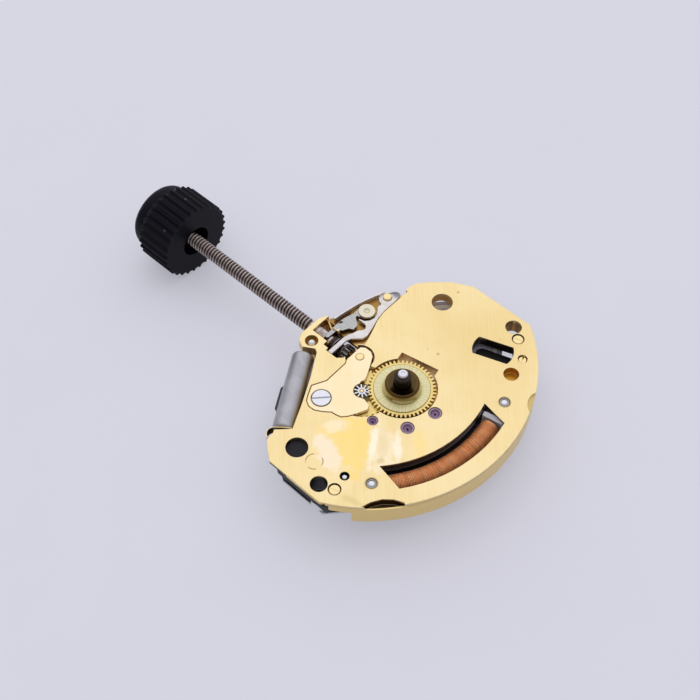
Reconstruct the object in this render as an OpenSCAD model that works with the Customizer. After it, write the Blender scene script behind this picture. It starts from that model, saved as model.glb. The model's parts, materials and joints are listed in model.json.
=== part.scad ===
// Two-hand quartz watch movement, dial side up, with its setting stem and knob.
// Millimetres. The origin is on the hands axis at the dial face of the main plate,
// +X runs out along the stem (3 o'clock), +Y points to 12 o'clock, +Z to the dial.

/* [Main plate] */
// Distance from the hands axis to the straight edges at 12 and 6 o'clock
flat_y = 7.55; // [7.5:0.05:7.8]
// Radius of the long arc on the 9 o'clock side
plate_r = 8.82; // [8.78:0.02:8.9]
// Distance from the hands axis to the centre of the long arc
arc_x = 2.67; // [2.64:0.01:2.7]
// Distance of that centre from the stem's line, toward 6 o'clock
arc_drop = 0.3; // [0.28:0.01:0.32]
// Thickness of the plate
web_t = 0.6; // [0.56:0.02:0.66]
// Height of the side wall that hangs from the long arc
rim_h = 1.4; // [1.2:0.05:1.8]
// Thickness of that side wall
rim_w = 0.42; // [0.3:0.02:0.5]
// Depth of the fine groove along the side wall
groove_in = 0.05; // [0.04:0.01:0.08]
// Distance of that groove below the dial face
groove_z = 0.24; // [0.22:0.01:0.3]
// Thickness of the plate over the circuit holder
lip_t = 0.22; // [0.18:0.01:0.26]
// Thickness left over the coil ends
coil_roof = 0.14; // [0.1:0.01:0.16]

/* [Holes and pins] */
// Diameter of the two holes for the dial feet
foot_hole_d = 0.86; // [0.8:0.02:0.9]
// Length of the dial foot's hole at 6 o'clock
foot_hole_len = 0.92; // [0.88:0.01:0.94]
// Head diameter of the dial screws
dial_screw_d = 0.6; // [0.54:0.02:0.64]
// Diameter of the two large round openings
port_d = 1.12; // [1:0.02:1.2]
// Diameter of the blind hole near 8 o'clock
blind_d = 0.8; // [0.7:0.02:0.86]
// Diameter of the steel coil pins
coil_pin_d = 0.5; // [0.44:0.02:0.54]
// Clearance of pins and screw heads in the plate
pin_gap = 0.03; // [0.02:0.01:0.05]

/* [Motion work] */
// Teeth of the hour wheel
hour_teeth = 48; // [48]
// Teeth of the minute pinion
minute_leaves = 10; // [10]
// Teeth of the minute wheel
minute_teeth = 30; // [30]
// Teeth of the cannon pinion
cannon_leaves = 12; // [12]
// Teeth of the setting wheel
setting_teeth = 13; // [13]
// Distance from the hands axis to the minute wheel's post
minute_dist = 2.04; // [2:0.01:2.08]
// Direction of that post from the hands axis
minute_dir = 47; // [46:0.5:48]
// Direction of the setting wheel from the minute wheel
setting_dir = -45; // [-46:0.5:-44]
// Depth of the recess for the motion work
work_depth = 0.42; // [0.4:0.01:0.44]
// Thickness of the minute and setting wheels
low_wheel_t = 0.15; // [0.12:0.01:0.16]
// Thickness of the hour wheel
hour_t = 0.14; // [0.12:0.01:0.16]
// Diameter of the hour hand's seat
hour_seat_d = 1.78; // [1.7:0.02:1.84]
// Width of the shoulder round the foot of that seat
seat_shoulder = 0.18; // [0.16:0.01:0.2]
// Height of the hour hand's seat over the plate
hour_seat_h = 0.5; // [0.4:0.02:0.6]
// Diameter of the cannon tube
cannon_d = 0.84; // [0.84:0.01:0.88]
// Height of the cannon tube over the plate
cannon_h = 1.11; // [1:0.02:1.2]
// Diameter of the minute hand's seat
minute_seat_d = 0.52; // [0.5:0.01:0.52]
// Diameter of the centre arbor's end inside the cannon tube
arbor_tip_d = 0.2; // [0.18:0.01:0.22]
// Diameter of the centre arbor in the plate
arbor_d = 0.56; // [0.5:0.02:0.6]
// Height of the minute hand's seat over the plate
minute_seat_h = 1.33; // [1.3:0.02:1.5]
// Running clearance of wheels on their posts, and between stacked wheels
run_gap = 0.02; // [0.01:0.01:0.03]
// Thickness of the motion work bridge
bridge_t = 0.2; // [0.16:0.01:0.2]
// Gap between the bridge and the recess that it lies in
bridge_gap = 0.05; // [0.03:0.01:0.06]
// Head diameter of the bridge screw
bridge_screw_d = 0.96; // [0.9:0.02:1]

/* [Stem and knob] */
// Depth of the stem's axis below the dial face
stem_z = 0.635; // [0.62:0.005:0.65]
// Thread diameter of the stem
stem_d = 0.8; // [0.76:0.02:0.82]
// Pitch of the thread
stem_pitch = 0.2; // [0.2:0.02:0.25]
// Clearance of the stem in its bore
stem_gap = 0.02; // [0.01:0.01:0.04]
// Distance from the hands axis to the knob
knob_x = 15.3; // [14.5:0.05:17]
// Diameter of the knob over its flutes
knob_d = 4.56; // [4.3:0.02:4.8]
// Length of the knob
knob_len = 3.15; // [3:0.05:4]
// Number of flutes round the knob
knob_flutes = 30; // [24:1:36]
// Depth of a flute
flute_depth = 0.15; // [0.1:0.01:0.2]
// Depth of the recess where the stem enters the knob
knob_recess = 0.9; // [0.6:0.1:1.2]
// Diameter of that recess
knob_recess_d = 1.8; // [1.4:0.1:2]
// Length of the smooth band at the outer end
knob_band = 0.9; // [0.7:0.05:1.1]
// Diameter of the smooth band
knob_band_d = 3.9; // [3.6:0.02:4]
// Diameter of the sliding pinion's toothed end
clutch_d = 1; // [0.94:0.02:1.04]
// Width across the stem's square
square_w = 0.4; // [0.36:0.01:0.42]
// Pull of the stem from rest to hand setting
stem_pull = 0.4; // [0.36:0.01:0.42]

/* [Keyless works] */
// Depth of the floor under the levers
lever_floor = 0.39; // [0.37:0.01:0.4]
// Depth of the levers' upper faces
lever_top = 0.12; // [0.11:0.01:0.14]
// Thickness of the yoke
lever_t = 0.14; // [0.12:0.01:0.15]
// Head diameter of the setting lever's axle
axle_head_d = 0.92; // [0.88:0.02:0.96]
// Diameter of the yoke's pivot pin
yoke_pin_d = 0.46; // [0.4:0.02:0.5]

/* [Crystal can] */
// Diameter of the can
can_d = 1.2; // [1.16:0.02:1.22]
// Length of the can
can_len = 4.7; // [4.6:0.05:4.75]
// Depth of the can's axis below the dial face
can_z = 0.62; // [0.61:0.005:0.63]
// Direction of the can's axis
can_dir = 121.3; // [120.5:0.1:122]

/* [Coil] */
// Distance of the coil's centre line from the long arc
coil_in = 1.54; // [1.52:0.01:1.56]
// Clearance of the coil in its window, beside the packed inner winding
coil_side = 0.16; // [0.14:0.01:0.18]
// Depth of the coil's centre line below the dial face
coil_z = 0.75; // [0.72:0.01:0.78]
// Diameter of the packed inner winding
coil_d = 0.84; // [0.8:0.02:0.88]
// Diameter of one turn's wire in the outer layer
wire_d = 0.1; // [0.08:0.01:0.1]
// Turns in the outer layer
coil_turns_n = 10; // [6:1:10]
// Angle at which the winding ends near 12 o'clock
coil_a0 = 139.2; // [139:0.1:139.6]
// Angle at which the winding ends near 8 o'clock
coil_a1 = 190.6; // [190.2:0.1:191]
// Thickness of the coil's flat core
core_t = 0.26; // [0.2:0.01:0.26]

/* [Battery] */
// Diameter of the button cell
cell_d = 5.8; // [5.7:0.02:5.84]
// Thickness of the button cell
cell_t = 1.25; // [1.15:0.05:1.65]
// Gap between the plate and the cell
cell_gap = 0.3; // [0.26:0.01:0.32]
// Thickness of the strap under the cell
strap_t = 0.15; // [0.1:0.01:0.16]

/* [Going train] */
// Teeth of the centre wheel
centre_teeth = 32; // [32]
// Leaves of the third pinion
third_leaves = 8; // [8]
// Teeth of the third wheel
third_teeth = 24; // [24]
// Leaves of the second pinion
second_leaves = 8; // [8]
// Teeth of the second wheel
second_teeth = 30; // [30]
// Leaves of the rotor pinion
rotor_leaves = 6; // [6]
// Thickness of the train wheels
train_t = 0.1; // [0.08:0.01:0.12]
// Diameter of the rotor magnet
magnet_d = 0.9; // [0.8:0.02:0.96]
// Gap between the magnet and the stator
air_gap = 0.15; // [0.1:0.01:0.2]
// Thickness of the stator
stator_t = 0.2; // [0.16:0.01:0.2]
// Thickness of the train bridge
train_bridge_t = 0.25; // [0.22:0.01:0.28]
// Diameter of the jewels
jewel_d = 0.7; // [0.6:0.02:0.7]
// Diameter of the plate jewel beside the minute wheel
small_jewel_d = 0.56; // [0.48:0.02:0.56]

/* [Circuit] */
// Thickness of the circuit board
board_t = 0.12; // [0.1:0.01:0.14]
// Depth of the circuit board's upper face
board_z = 1.25; // [1.24:0.005:1.26]
// Width of the chip
chip_w = 1.5; // [1.3:0.05:1.5]
// Thickness of the chip
chip_t = 0.45; // [0.35:0.01:0.5]
// Thickness of the circuit cover
cover_t = 0.1; // [0.08:0.01:0.12]

/* [Hidden] */
e = 0.01;
face_gap = 0.01;

// Places round the long arc's centre: r inside the plate's edge or beside the coil, and an angle
coil_r = plate_r - coil_in;
coil_half = coil_d / 2 + wire_d + coil_side;
core_w = 0.44;
flange_half = coil_d / 2 + wire_d + 0.04;
flange_a = 2.4;
stator_r = coil_r - 0.82;
arc_c = [arc_x, -arc_drop];
function arc_at(r, a) = arc_c + r * aim(a);
function edge_at(inset, a) = arc_at(plate_r - inset, a);

// Places of the holes, pins and screws, seen from the dial side
foot_at = [edge_at(0.924, 115.1), edge_at(0.89, 235.69)];
dial_screw_at = [edge_at(0.837, 120.9), edge_at(0.856, 229.99)];
port_at = [[1.5, 6.1], [2.03, -5.6]];
blind_at = edge_at(1.37, 213.39);
small_pin_at = edge_at(1.625, 123.49);
contact_screw_at = edge_at(0.795, 220.86);
coil_pin_at = [arc_at(coil_r + 0.223, 133.75), arc_at(coil_r + 0.182, 199.82)];
bridge_screw_at = [2.6, 3.2];
window_at = edge_at(2.279, 225.31);
axle_at = [4.6, -2.45];
yoke_pin_at = [4.46, -3.94];
cell_at = [0.45, -4.25];
rotor_at = [-2.2, 0.02];
second_at = [-1.75, 1.6];
third_at = [-0.2, 2.45];
pillar_at = [[2.2, 1.6], [-1.9, -1.75], [-1.55, 3.68]];
strap_post_at = [edge_at(2.198, 209.39), [3.3, -1.5]];
cover_screw_at = [[-0.5, 6], [1.75, 6.6]];
chip_at = [0.75, 5.15];

// Levels on the back, as heights below the dial face
cell_z = web_t + cell_gap;
cell_back = cell_z + cell_t;
centre_z = web_t + 0.08;
stator_z = web_t + 0.35;
third_z = web_t + 0.45;
second_z = web_t + 0.7;
train_bridge_z = web_t + 1;
cover_z = board_z + board_t + chip_t + 0.06;

// Motion work sizes
hour_m = 2 * minute_dist / (hour_teeth + minute_leaves);
low_m = 2 * minute_dist / (minute_teeth + cannon_leaves);
minute_at = minute_dist * aim(minute_dir);
setting_dist = low_m * (minute_teeth + setting_teeth) / 2;
setting_at = minute_at + setting_dist * aim(setting_dir);
work_z = -work_depth + run_gap;
low_top = work_z + low_wheel_t;
hour_z = low_top + run_gap + 0.04;
hour_top = hour_z + hour_t;
washer_t = 0.04;
hour_phase = minute_dir;
minute_pinion_phase = mesh(hour_teeth, hour_phase, minute_dir, minute_leaves);
cannon_phase = minute_dir;
minute_phase = mesh(cannon_leaves, cannon_phase, minute_dir, minute_teeth);
setting_phase = mesh(minute_teeth, minute_phase, setting_dir, setting_teeth);

// Train sizes
centre_m = 2 * norm(third_at) / (centre_teeth + third_leaves);
third_m = 2 * norm(second_at - third_at) / (third_teeth + second_leaves);
second_m = 2 * norm(rotor_at - second_at) / (second_teeth + rotor_leaves);
third_dir = bearing([0, 0], third_at);
second_dir = bearing(third_at, second_at);
rotor_dir = bearing(second_at, rotor_at);
third_pinion_phase = mesh(centre_teeth, 0, third_dir, third_leaves);
second_pinion_phase = mesh(third_teeth, 0, second_dir, second_leaves);
rotor_phase = mesh(second_teeth, 0, rotor_dir, rotor_leaves);

// Battery cap, and the cover plate under the stem
cap_d = cell_d - 1;
stem_cover_z = stem_z + stem_d / 2 + stem_gap + 0.25 + face_gap;
lever_low = stem_z - stem_d / 2 - 0.015;

// Stem stations along X
housing_x = 4.86;
stem_out_x = 6.15;
groove_x = 4.97;
groove_w = 0.25;
pilot_x = 3;
clutch_x = 3.6;
clutch_groove_x = 4;
clutch_groove_w = 0.5;
clutch_end_x = 4.78;
bore_r = stem_d / 2 + stem_gap;

// Crystal can frame: u runs along the can to its upper end, v to the plate side
can_mid = [4.108, 3.67];
function aim(a) = [cos(a), sin(a)];
function bearing(p, q) = atan2(q[1] - p[1], q[0] - p[0]);
function can_pt(u, v) = can_mid + u * aim(can_dir) + v * aim(can_dir + 90);

// Phase of a gear of n2 teeth that meshes in direction d with one of n1 teeth at phase a1
function mesh(n1, a1, d, n2) = d + 180 - (a1 + 180 / n1 - d) * n1 / n2;

// Outline grown by d all round, for points that run anticlockwise
function right_of(p, q) = let (v = (q - p) / norm(q - p)) [v[1], -v[0]];
function grow(pts, d) = [for (i = [0:len(pts) - 1])
    let (a = right_of(pts[(i + len(pts) - 1) % len(pts)], pts[i]))
    let (b = right_of(pts[i], pts[(i + 1) % len(pts)]))
    pts[i] + d * (a + b) / (1 + a * b)];

// Outline of a strip of width w along an open path
function side(path, i) = let (a = right_of(path[max(i - 1, 0)], path[max(i, 1)]))
    let (b = right_of(path[min(i, len(path) - 2)], path[min(i + 1, len(path) - 1)]))
    (a + b) / (1 + a * b);
function strip(path, w) = let (n = len(path) - 1)
    concat([for (i = [0:n]) path[i] + w / 2 * side(path, i)],
        [for (i = [n:-1:0]) path[i] - w / 2 * side(path, i)]);

// Plate outline, anticlockwise from the 12 o'clock edge; a circle cuts its left side
can_edge = can_d / 2 + 0.12;
end_u = can_len / 2;
outline = concat([[1.95, flat_y], [arc_x - plate_r - 1, flat_y], [arc_x - plate_r - 1, -flat_y]],
    [[1.45, -flat_y], [2.6, -6.95], [3.45, -6.15], [3.9, -5.6], [4.02, -5.2], [3.98, -4.75],
    [4.3, -4.68], [4.62, -4.4], [5.06, -3.5], [5.46, -2.4], [5.72, -1.3], [5.92, -0.86],
    [stem_out_x, -0.35], [stem_out_x, 0.95], [5.95, 1.35], [5.6, 1.5]],
    [can_pt(-end_u - 0.19, -0.1), can_pt(-end_u - 0.19, can_edge - 0.12)],
    [can_pt(-end_u + 0.02, can_edge), can_pt(-0.8, can_edge + 0.01)],
    [can_pt(0.8, can_edge - 0.06), can_pt(end_u + 0.09, can_edge - 0.2)],
    [can_pt(end_u + 0.298, -0.36), can_pt(end_u + 0.499, -0.377), can_pt(end_u + 0.749, -0.505)],
    [can_pt(end_u + 0.935, -0.583), [2.45, 7.17]]);
pry = [edge_at(0.06, 130.3), edge_at(-0.2, 134.8), edge_at(-0.2, 143.9),
    edge_at(0.12, 143.8), edge_at(0.357, 140.71), edge_at(0.435, 136.98), edge_at(0.295, 133.15)];

// Outline of the keyless works' floor, and of the bridge over the motion work
keyless = [[3.2, -0.72], [3.34, -1.2], [3.5, -1.66], [3.76, -2.35], [3.88, -3], [3.86, -4.9],
    [7, -4.9], [7, -0.5], [5.86, -0.82], [5.2, -0.44], [4.9, -0.44], [4.9, -0.56], [3.5, -0.56]];
bridge = [[0.42, 2.12], [0.52, 1.9], [0.94, 1.79], [1.2, 1.85], [1.6, 1.85], [1.8, 1.1],
    [1.72, 0.95], [1.78, 0.72], [2.06, 0.15], [2.4, -0.45], [2.66, -0.62], [3.04, -0.62],
    [3.26, -0.46], [3.26, 0.58], [3.12, 0.8], [3.1, 2.25], [3.22, 2.5], [3.46, 2.98],
    [3.2, 3.5], [3.02, 3.8], [2.72, 3.96], [2.38, 3.94], [2.02, 3.74], [1.66, 3.45],
    [1.38, 3.41], [1.12, 3.34], [0.9, 3.1], [0.62, 2.6]];
yoke_edge = [[4.14, 0.8], [4.14, -0.36], [4.04, -0.6], [3.6, -1.02], [3.54, -1.3], [3.66, -1.85],
    [3.86, -2.5], [3.97, -3.1], [3.98, -4.45], [4.12, -4.62], [4.34, -4.6], [4.6, -4.34],
    [4.7, -4.02], [4.6, -3.62], [4.4, -3.36], [4.42, -3.1], [4.3, -2.98], [4.14, -2.72],
    [4.06, -2.45], [4.14, -2.14], [4.32, -1.94], [4.62, -1.86], [4.6, -1.8], [4.1, -1.8],
    [3.93, -1.6], [3.98, -1.42], [4.14, -1.24], [4.22, -0.95], [4.34, -0.7], [4.4, -0.4],
    [4.4, 0.8]];
lever_edge = [[4.36, -1.14], [4.6, -1.02], [4.74, -0.72], [4.94, -0.56], [4.97, -0.4],
    [4.99, 0.1], [5.04, 0.2], [5.15, 0.2], [5.2, 0.1], [5.22, -0.42], [5.25, -0.66],
    [5.25, -1.2], [5.2, -1.5], [5.06, -1.92], [5.1, -2.2], [5.1, -2.7], [4.6, -2.96], [4.24, -2.7],
    [4.2, -2.3], [4.4, -2.06], [4.84, -1.94], [4.84, -1.82], [4.4, -1.5]];
spring_path = [[4.84, -4.14], [5.02, -3.62], [5.22, -3.05], [5.36, -2.5], [5.47, -1.9],
    [5.55, -1.4], [5.6, -0.98]];

// One solid of straight sides from z0 up to z1
module slab(pts, z0, z1) {
    translate([0, 0, z0]) linear_extrude(z1 - z0) polygon(pts);
}

// Upright cylinder at a point of the plate
module peg(at, d, z0, z1, n = 40) {
    translate([at[0], at[1], z0]) cylinder(h = z1 - z0, d = d, $fn = n);
}

// Sector of a ring about the long arc's centre
module arc_ring(r0, r1, a0, a1, z0, z1) {
    translate(arc_c) rotate([0, 0, a0]) rotate_extrude(angle = a1 - a0, $fn = 96)
        translate([r0, z0]) square([r1 - r0, z1 - z0]);
}

// Gear of n teeth and module m at a point, with a tooth centred at the angle phase
module gear(at, n, m, z0, z1, phase) {
    root = m * (n / 2 - 1);
    tip = m * (n / 2 + 0.8);
    tooth = [[root, -0.3], [tip, -0.13], [tip, 0.13], [root, 0.3]];
    pts = [for (i = [0:n - 1], k = tooth) k[0] * aim((i + k[1]) * 360 / n)];
    translate([at[0], at[1], z0]) rotate([0, 0, phase]) linear_extrude(z1 - z0) polygon(pts);
}

// Cylinder along the stem's axis from x0 to x1
module on_stem(x0, x1, d, n = 48) {
    translate([x0, 0, -stem_z]) rotate([0, 90, 0]) cylinder(h = x1 - x0, d = d, $fn = n);
}

// Cheese-headed screw, head up, with its slot at the given angle
module screw(at, head_d, head_z0, head_z1, shank_d, shank_z, turn, slot = 0.14) {
    difference() {
        union() {
            peg(at, head_d, head_z0, head_z1);
            peg(at, shank_d, shank_z, head_z0 + e);
        }
        translate([at[0], at[1], head_z1]) rotate([0, 0, turn])
            cube([head_d * 2, slot, (head_z1 - head_z0) * 0.8], center = true);
    }
}

// The same screw upside down, for the back
module back_screw(at, head_d, z_head, z_top, shank_d, z_end, turn) {
    mirror([0, 0, 1]) screw(at, head_d, z_top, z_head, shank_d, z_end, turn);
}

module coil_window() {
    intersection() {
        arc_ring(coil_r - coil_half - 0.02, coil_r + coil_half - 0.03, 130, 210, -web_t - 1, 1);
        slab([[-9, -1.2], [-3.2, -2.17], [-1, -2.53], [-1, 3.94], [-3, 4.31], [-9, 5.4]],
            -web_t - 1, 1);
    }
}

module battery_window() {
    intersection() {
        peg(window_at, 2.16, -web_t - 1, 1);
        translate([window_at[0], window_at[1], 0]) rotate([0, 0, 19.9])
            cube([3, 1.12, 4], center = true);
    }
}

module main_plate() {
    color([0.93, 0.79, 0.48]) difference() {
        union() {
            difference() {
                intersection() {
                    slab(outline, -rim_h, 0);
                    peg(arc_c, 2 * plate_r, -rim_h - 1, 1, 180);
                }
                peg(arc_c, 2 * (plate_r - rim_w), -rim_h - 1, -web_t, 180);
                translate([-2.68, -9, -rim_h - 1]) cube([20, 18, rim_h + 1 - web_t]);
            }
            intersection() {
                slab(outline, -stem_z - bore_r - 0.25, -web_t + e);
                translate([housing_x, -1, -2]) cube([2, 2.1, 2]);
            }
            translate([pilot_x - 0.1, -0.4, -stem_z - 0.4])
                cube([0.56, 0.8, stem_z + 0.4 - web_t + e]);
            for (p = pillar_at) peg(p, 0.76, -train_bridge_z, -web_t + e);
            for (p = strap_post_at) peg(p, 0.8, -cell_back, -web_t + e);
            peg(contact_screw_at, 0.7, -cell_z + 0.08, -web_t + e);
            peg(foot_at[1], foot_hole_d + 0.5, -foot_hole_len, -web_t + e);
        }
        // Groove along the side wall, and the notches in the upper edge
        arc_ring(plate_r - groove_in, plate_r + 1, 145, 184, -groove_z - 0.03, -groove_z);
        slab(pry, -groove_z, 1);
        intersection() {
            slab(pry, -web_t + 0.1, 1);
            peg(arc_c, 2 * (plate_r - 0.1), -1, 1, 180);
        }
        peg(edge_at(-0.6, 203.3), 1.76, -0.12, 1);
        // Space for the circuit holder under the 12 o'clock edge
        translate([-1.75, 5.3, -web_t - 1]) cube([5.2, 3, web_t + 1 - lip_t]);
        // Windows, ports and holes
        coil_window();
        battery_window();
        arc_ring(coil_r - coil_half, coil_r + coil_half - 0.06, 136, 196, -web_t - 1, -coil_roof);
        for (p = foot_at) peg(p, foot_hole_d, -2, 1);
        for (p = dial_screw_at) peg(p, dial_screw_d + 2 * pin_gap, -0.21, 1);
        for (p = dial_screw_at) peg(p, 0.3, -0.52, 1);
        for (p = port_at) peg(p, port_d, -2, 1);
        peg(blind_at, blind_d, -0.45, 1);
        peg(small_pin_at, 0.48, -2, 1);
        peg(contact_screw_at, 0.5, -0.3, 1);
        peg(contact_screw_at, 0.24, -2, 1);
        for (p = coil_pin_at) peg(p, coil_pin_d + 2 * pin_gap, -2, 1);
        // Bearings of the train's jewels
        for (p = [rotor_at, second_at]) peg(p, jewel_d, -2, 1);
        peg(third_at, small_jewel_d, -2, 1);
        // Motion work recess, wheel pockets and the deep corner pocket
        peg([0, 0], hour_m * (hour_teeth + 1.6) + 0.14, -work_depth, 1, 72);
        peg(minute_at, low_m * (minute_teeth + 1.6) + 0.05, -work_depth, 1, 64);
        peg(setting_at, low_m * (setting_teeth + 1.6) + 0.1, -work_depth, 1);
        slab(grow(bridge, bridge_gap), -bridge_t, 1);
        translate([0.22, -1, -0.52]) rotate([0, 0, 11.6]) translate([-1.07, -0.9, 0])
            cube([2.14, 1.6, 1]);
        peg([0, 0], arbor_d + 2 * run_gap, -2, 1);
        peg(minute_at, 0.2, -2, 1, 24);
        peg(setting_at, 0.2, -2, 1, 24);
        peg(bridge_screw_at, 0.4, -2, 1);
        // Keyless works' floor, pin holes and the stem's run
        slab(keyless, -lever_floor, 1);
        peg(axle_at, 0.36 + 2 * run_gap, -2, 1);
        peg(yoke_pin_at, yoke_pin_d, -2, 1);
        slab([[3.46, -0.57], [4.8, -0.57], [4.8, 0.7], [4.47, 0.7], [4.47, 0.88], [3.72, 0.88],
            [3.46, 0.62]], -2, 1);
        translate([4.7, -bore_r, -stem_z]) cube([1.15, 2 * bore_r, 1]);
        difference() {
            translate([5.2, -0.8, -stem_z]) cube([0.65, 1, 1]);
            slab([[5.2, -0.34], [5.85, -0.7], [5.85, -0.8], [5.2, -0.5]], -1, -lever_low - 0.02);
        }
        on_stem(4.6, 7, 2 * bore_r);
        on_stem(pilot_x - 0.02, 4, 0.3 + 2 * stem_gap, 24);
        peg([5.42, 0.94], 0.7, -0.5, 1);
        // Threads for the back's screws
        for (p = pillar_at) peg(p, 0.3, -train_bridge_z - 1, -web_t, 24);
        for (p = strap_post_at) peg(p, 0.3, -cell_back - 1, -web_t, 24);
        peg([5.4, 0.75], 0.3, -2, -0.6, 24);
    }
}

module motion_work_bridge() {
    color([0.95, 0.86, 0.62]) difference() {
        slab(bridge, -bridge_t + face_gap, 0);
        peg(minute_at, hour_m * (minute_leaves + 2.3), -1, 1);
        peg(bridge_screw_at, bridge_screw_d + 2 * pin_gap, -0.1, 1);
        peg(bridge_screw_at, 0.44, -1, 1);
        peg(setting_at, 0.4, -1, 1);
    }
}

module bridge_screw() {
    color([0.82, 0.82, 0.84])
        screw(bridge_screw_at, bridge_screw_d, -0.09, 0.02, 0.4, -web_t, 47, 0.1);
}

module hour_wheel() {
    color([0.87, 0.76, 0.45]) difference() {
        union() {
            gear([0, 0], hour_teeth, hour_m, hour_z, hour_top, hour_phase);
            peg([0, 0], hour_seat_d, hour_z, hour_seat_h, 64);
            peg([0, 0], hour_seat_d + 2 * seat_shoulder, hour_z, hour_top + washer_t, 64);
        }
        peg([0, 0], cannon_d + 2 * run_gap, -1, 2, 48);
    }
}

module dial_washer() {
    color([0.8, 0.8, 0.6]) difference() {
        peg([0, 0], hour_m * (hour_teeth - 6.5), hour_top, hour_top + washer_t, 72);
        peg([0, 0], hour_seat_d + 2 * seat_shoulder, -1, 2, 64);
    }
}

module cannon_pinion() {
    color([0.35, 0.33, 0.32]) difference() {
        union() {
            gear([0, 0], cannon_leaves, low_m, work_z, low_top, cannon_phase);
            peg([0, 0], cannon_d, low_top - e, cannon_h, 48);
            peg([0, 0], minute_seat_d, cannon_h - e, minute_seat_h, 48);
        }
        peg([0, 0], arbor_tip_d, -1, 2, 24);
    }
}

module centre_arbor() {
    color([0.8, 0.8, 0.82]) union() {
        peg([0, 0], arbor_tip_d, -centre_z, minute_seat_h - 0.02, 24);
        peg([0, 0], arbor_d, -centre_z - 0.16, work_z);
        peg([0, 0], 0.24, -train_bridge_z + 0.1, -centre_z);
        peg([0, 0], 0.14, -train_bridge_z - 0.2, -centre_z, 24);
    }
}

module centre_wheel() {
    color([0.85, 0.7, 0.4]) difference() {
        gear([0, 0], centre_teeth, centre_m, -centre_z - train_t, -centre_z, 0);
        peg([0, 0], arbor_d, -2, 1);
    }
}

module minute_wheel() {
    color([0.87, 0.72, 0.38]) difference() {
        gear(minute_at, minute_teeth, low_m, work_z, low_top, minute_phase);
        peg(minute_at, 0.34, -1, 1);
    }
}

module minute_pinion() {
    color([0.85, 0.85, 0.87]) difference() {
        union() {
            gear(minute_at, minute_leaves, hour_m, low_top, -0.03, minute_pinion_phase);
            peg(minute_at, 0.34, work_z, low_top + e);
        }
        peg(minute_at, 0.2 + 2 * run_gap, -1, 1, 24);
    }
}

module setting_wheel() {
    color([0.87, 0.72, 0.38]) difference() {
        gear(setting_at, setting_teeth, low_m, work_z, low_top, setting_phase);
        peg(setting_at, 0.2 + 2 * run_gap, -1, 1, 24);
    }
}

module motion_posts() {
    color([0.82, 0.8, 0.74]) union() {
        peg(minute_at, 0.2, -web_t, -0.01, 24);
        peg(setting_at, 0.2, -web_t, -bridge_t + 0.02, 24);
        peg(setting_at, 0.4, -bridge_t + face_gap, 0.02);
    }
}

module sliding_pinion() {
    color([0.7, 0.7, 0.73]) difference() {
        union() {
            intersection() {
                on_stem(clutch_x, clutch_groove_x, clutch_d);
                translate([clutch_x, 0, -stem_z]) rotate([0, 90, 0])
                    gear([0, 0], 12, clutch_d / 13.4, 0, 1, 15);
            }
            on_stem(clutch_groove_x - e, clutch_end_x, 0.6);
            on_stem(clutch_groove_x - 0.1, clutch_groove_x, clutch_d);
            on_stem(clutch_groove_x + clutch_groove_w, clutch_end_x, clutch_d);
        }
        translate([3, -square_w / 2 - run_gap, -stem_z - square_w / 2 - run_gap])
            cube([3, square_w + 2 * run_gap, square_w + 2 * run_gap]);
    }
}

module stem() {
    half = stem_d / 2;
    ridges = floor((knob_x + knob_recess - 6.5) / stem_pitch);
    profile = concat([[0, 6], [half, 6], [half, 6.4 - stem_pitch / 4]],
        [for (i = [0:ridges - 1], k = [[0.8, 0.1], [1, 0.5], [1, 0.6]])
            [half * k[0], 6.4 + (i + k[1]) * stem_pitch]],
        [[half, knob_x + knob_recess], [half, knob_x + 2.2], [0, knob_x + 2.2]]);
    color([0.45, 0.41, 0.38]) union() {
        translate([0, 0, -stem_z]) rotate([0, 90, 0]) rotate_extrude($fn = 32) polygon(profile);
        on_stem(groove_x + groove_w, 6 + e, stem_d);
        on_stem(groove_x - e, groove_x + groove_w + e, 0.4);
        on_stem(clutch_end_x + 0.04, groove_x, stem_d);
        translate([clutch_x - 0.05, -square_w / 2, -stem_z - square_w / 2])
            cube([clutch_end_x + 0.1 - clutch_x, square_w, square_w]);
        on_stem(pilot_x, clutch_x, 0.3, 24);
    }
}

module knob() {
    r = knob_d / 2;
    n = knob_flutes;
    flute = [[r - flute_depth, -0.3], [r, -0.08], [r, 0.08], [r - flute_depth, 0.3]];
    pts = [for (i = [0:n - 1], k = flute) k[0] * aim((i + k[1]) * 360 / n)];
    rim = knob_band_d / 2;
    x1 = knob_len - knob_band;
    color([0.13, 0.13, 0.15]) translate([knob_x, 0, -stem_z]) rotate([0, 90, 0]) difference() {
        union() {
            linear_extrude(x1) polygon(pts);
            rotate_extrude($fn = 72) polygon([[0, x1 - e], [rim, x1 - e], [rim, knob_len - 0.3],
                [rim - 0.1, knob_len - 0.1], [rim - 0.35, knob_len], [0, knob_len]]);
        }
        translate([0, 0, -1]) cylinder(h = 1 + knob_recess, d = knob_recess_d, $fn = 48);
        translate([0, 0, -1]) cylinder(h = 3.21, d = stem_d, $fn = 48);
    }
}

module setting_lever() {
    stud = [groove_x + groove_w / 2, 0];
    color([0.72, 0.73, 0.74]) difference() {
        union() {
            slab(lever_edge, -lever_low, -lever_top);
            peg(stud, groove_w - 0.06, -stem_z + 0.24, -lever_low + e, 24);
        }
        peg(axle_at, 0.36, -1, 1);
    }
}

module lever_axle() {
    color([0.8, 0.78, 0.7]) difference() {
        union() {
            peg(axle_at, axle_head_d, -lever_top, 0.02);
            peg(axle_at, 0.36, -web_t, -lever_top + e);
        }
        translate([axle_at[0], axle_at[1], -0.07]) cylinder(h = 0.1, d1 = 0.05, d2 = 0.34, $fn = 32);
    }
}

module yoke() {
    color([0.84, 0.84, 0.86]) difference() {
        slab(yoke_edge, -lever_top - lever_t, -lever_top);
        peg(yoke_pin_at, yoke_pin_d + 2 * run_gap, -1, 1);
    }
}

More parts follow.
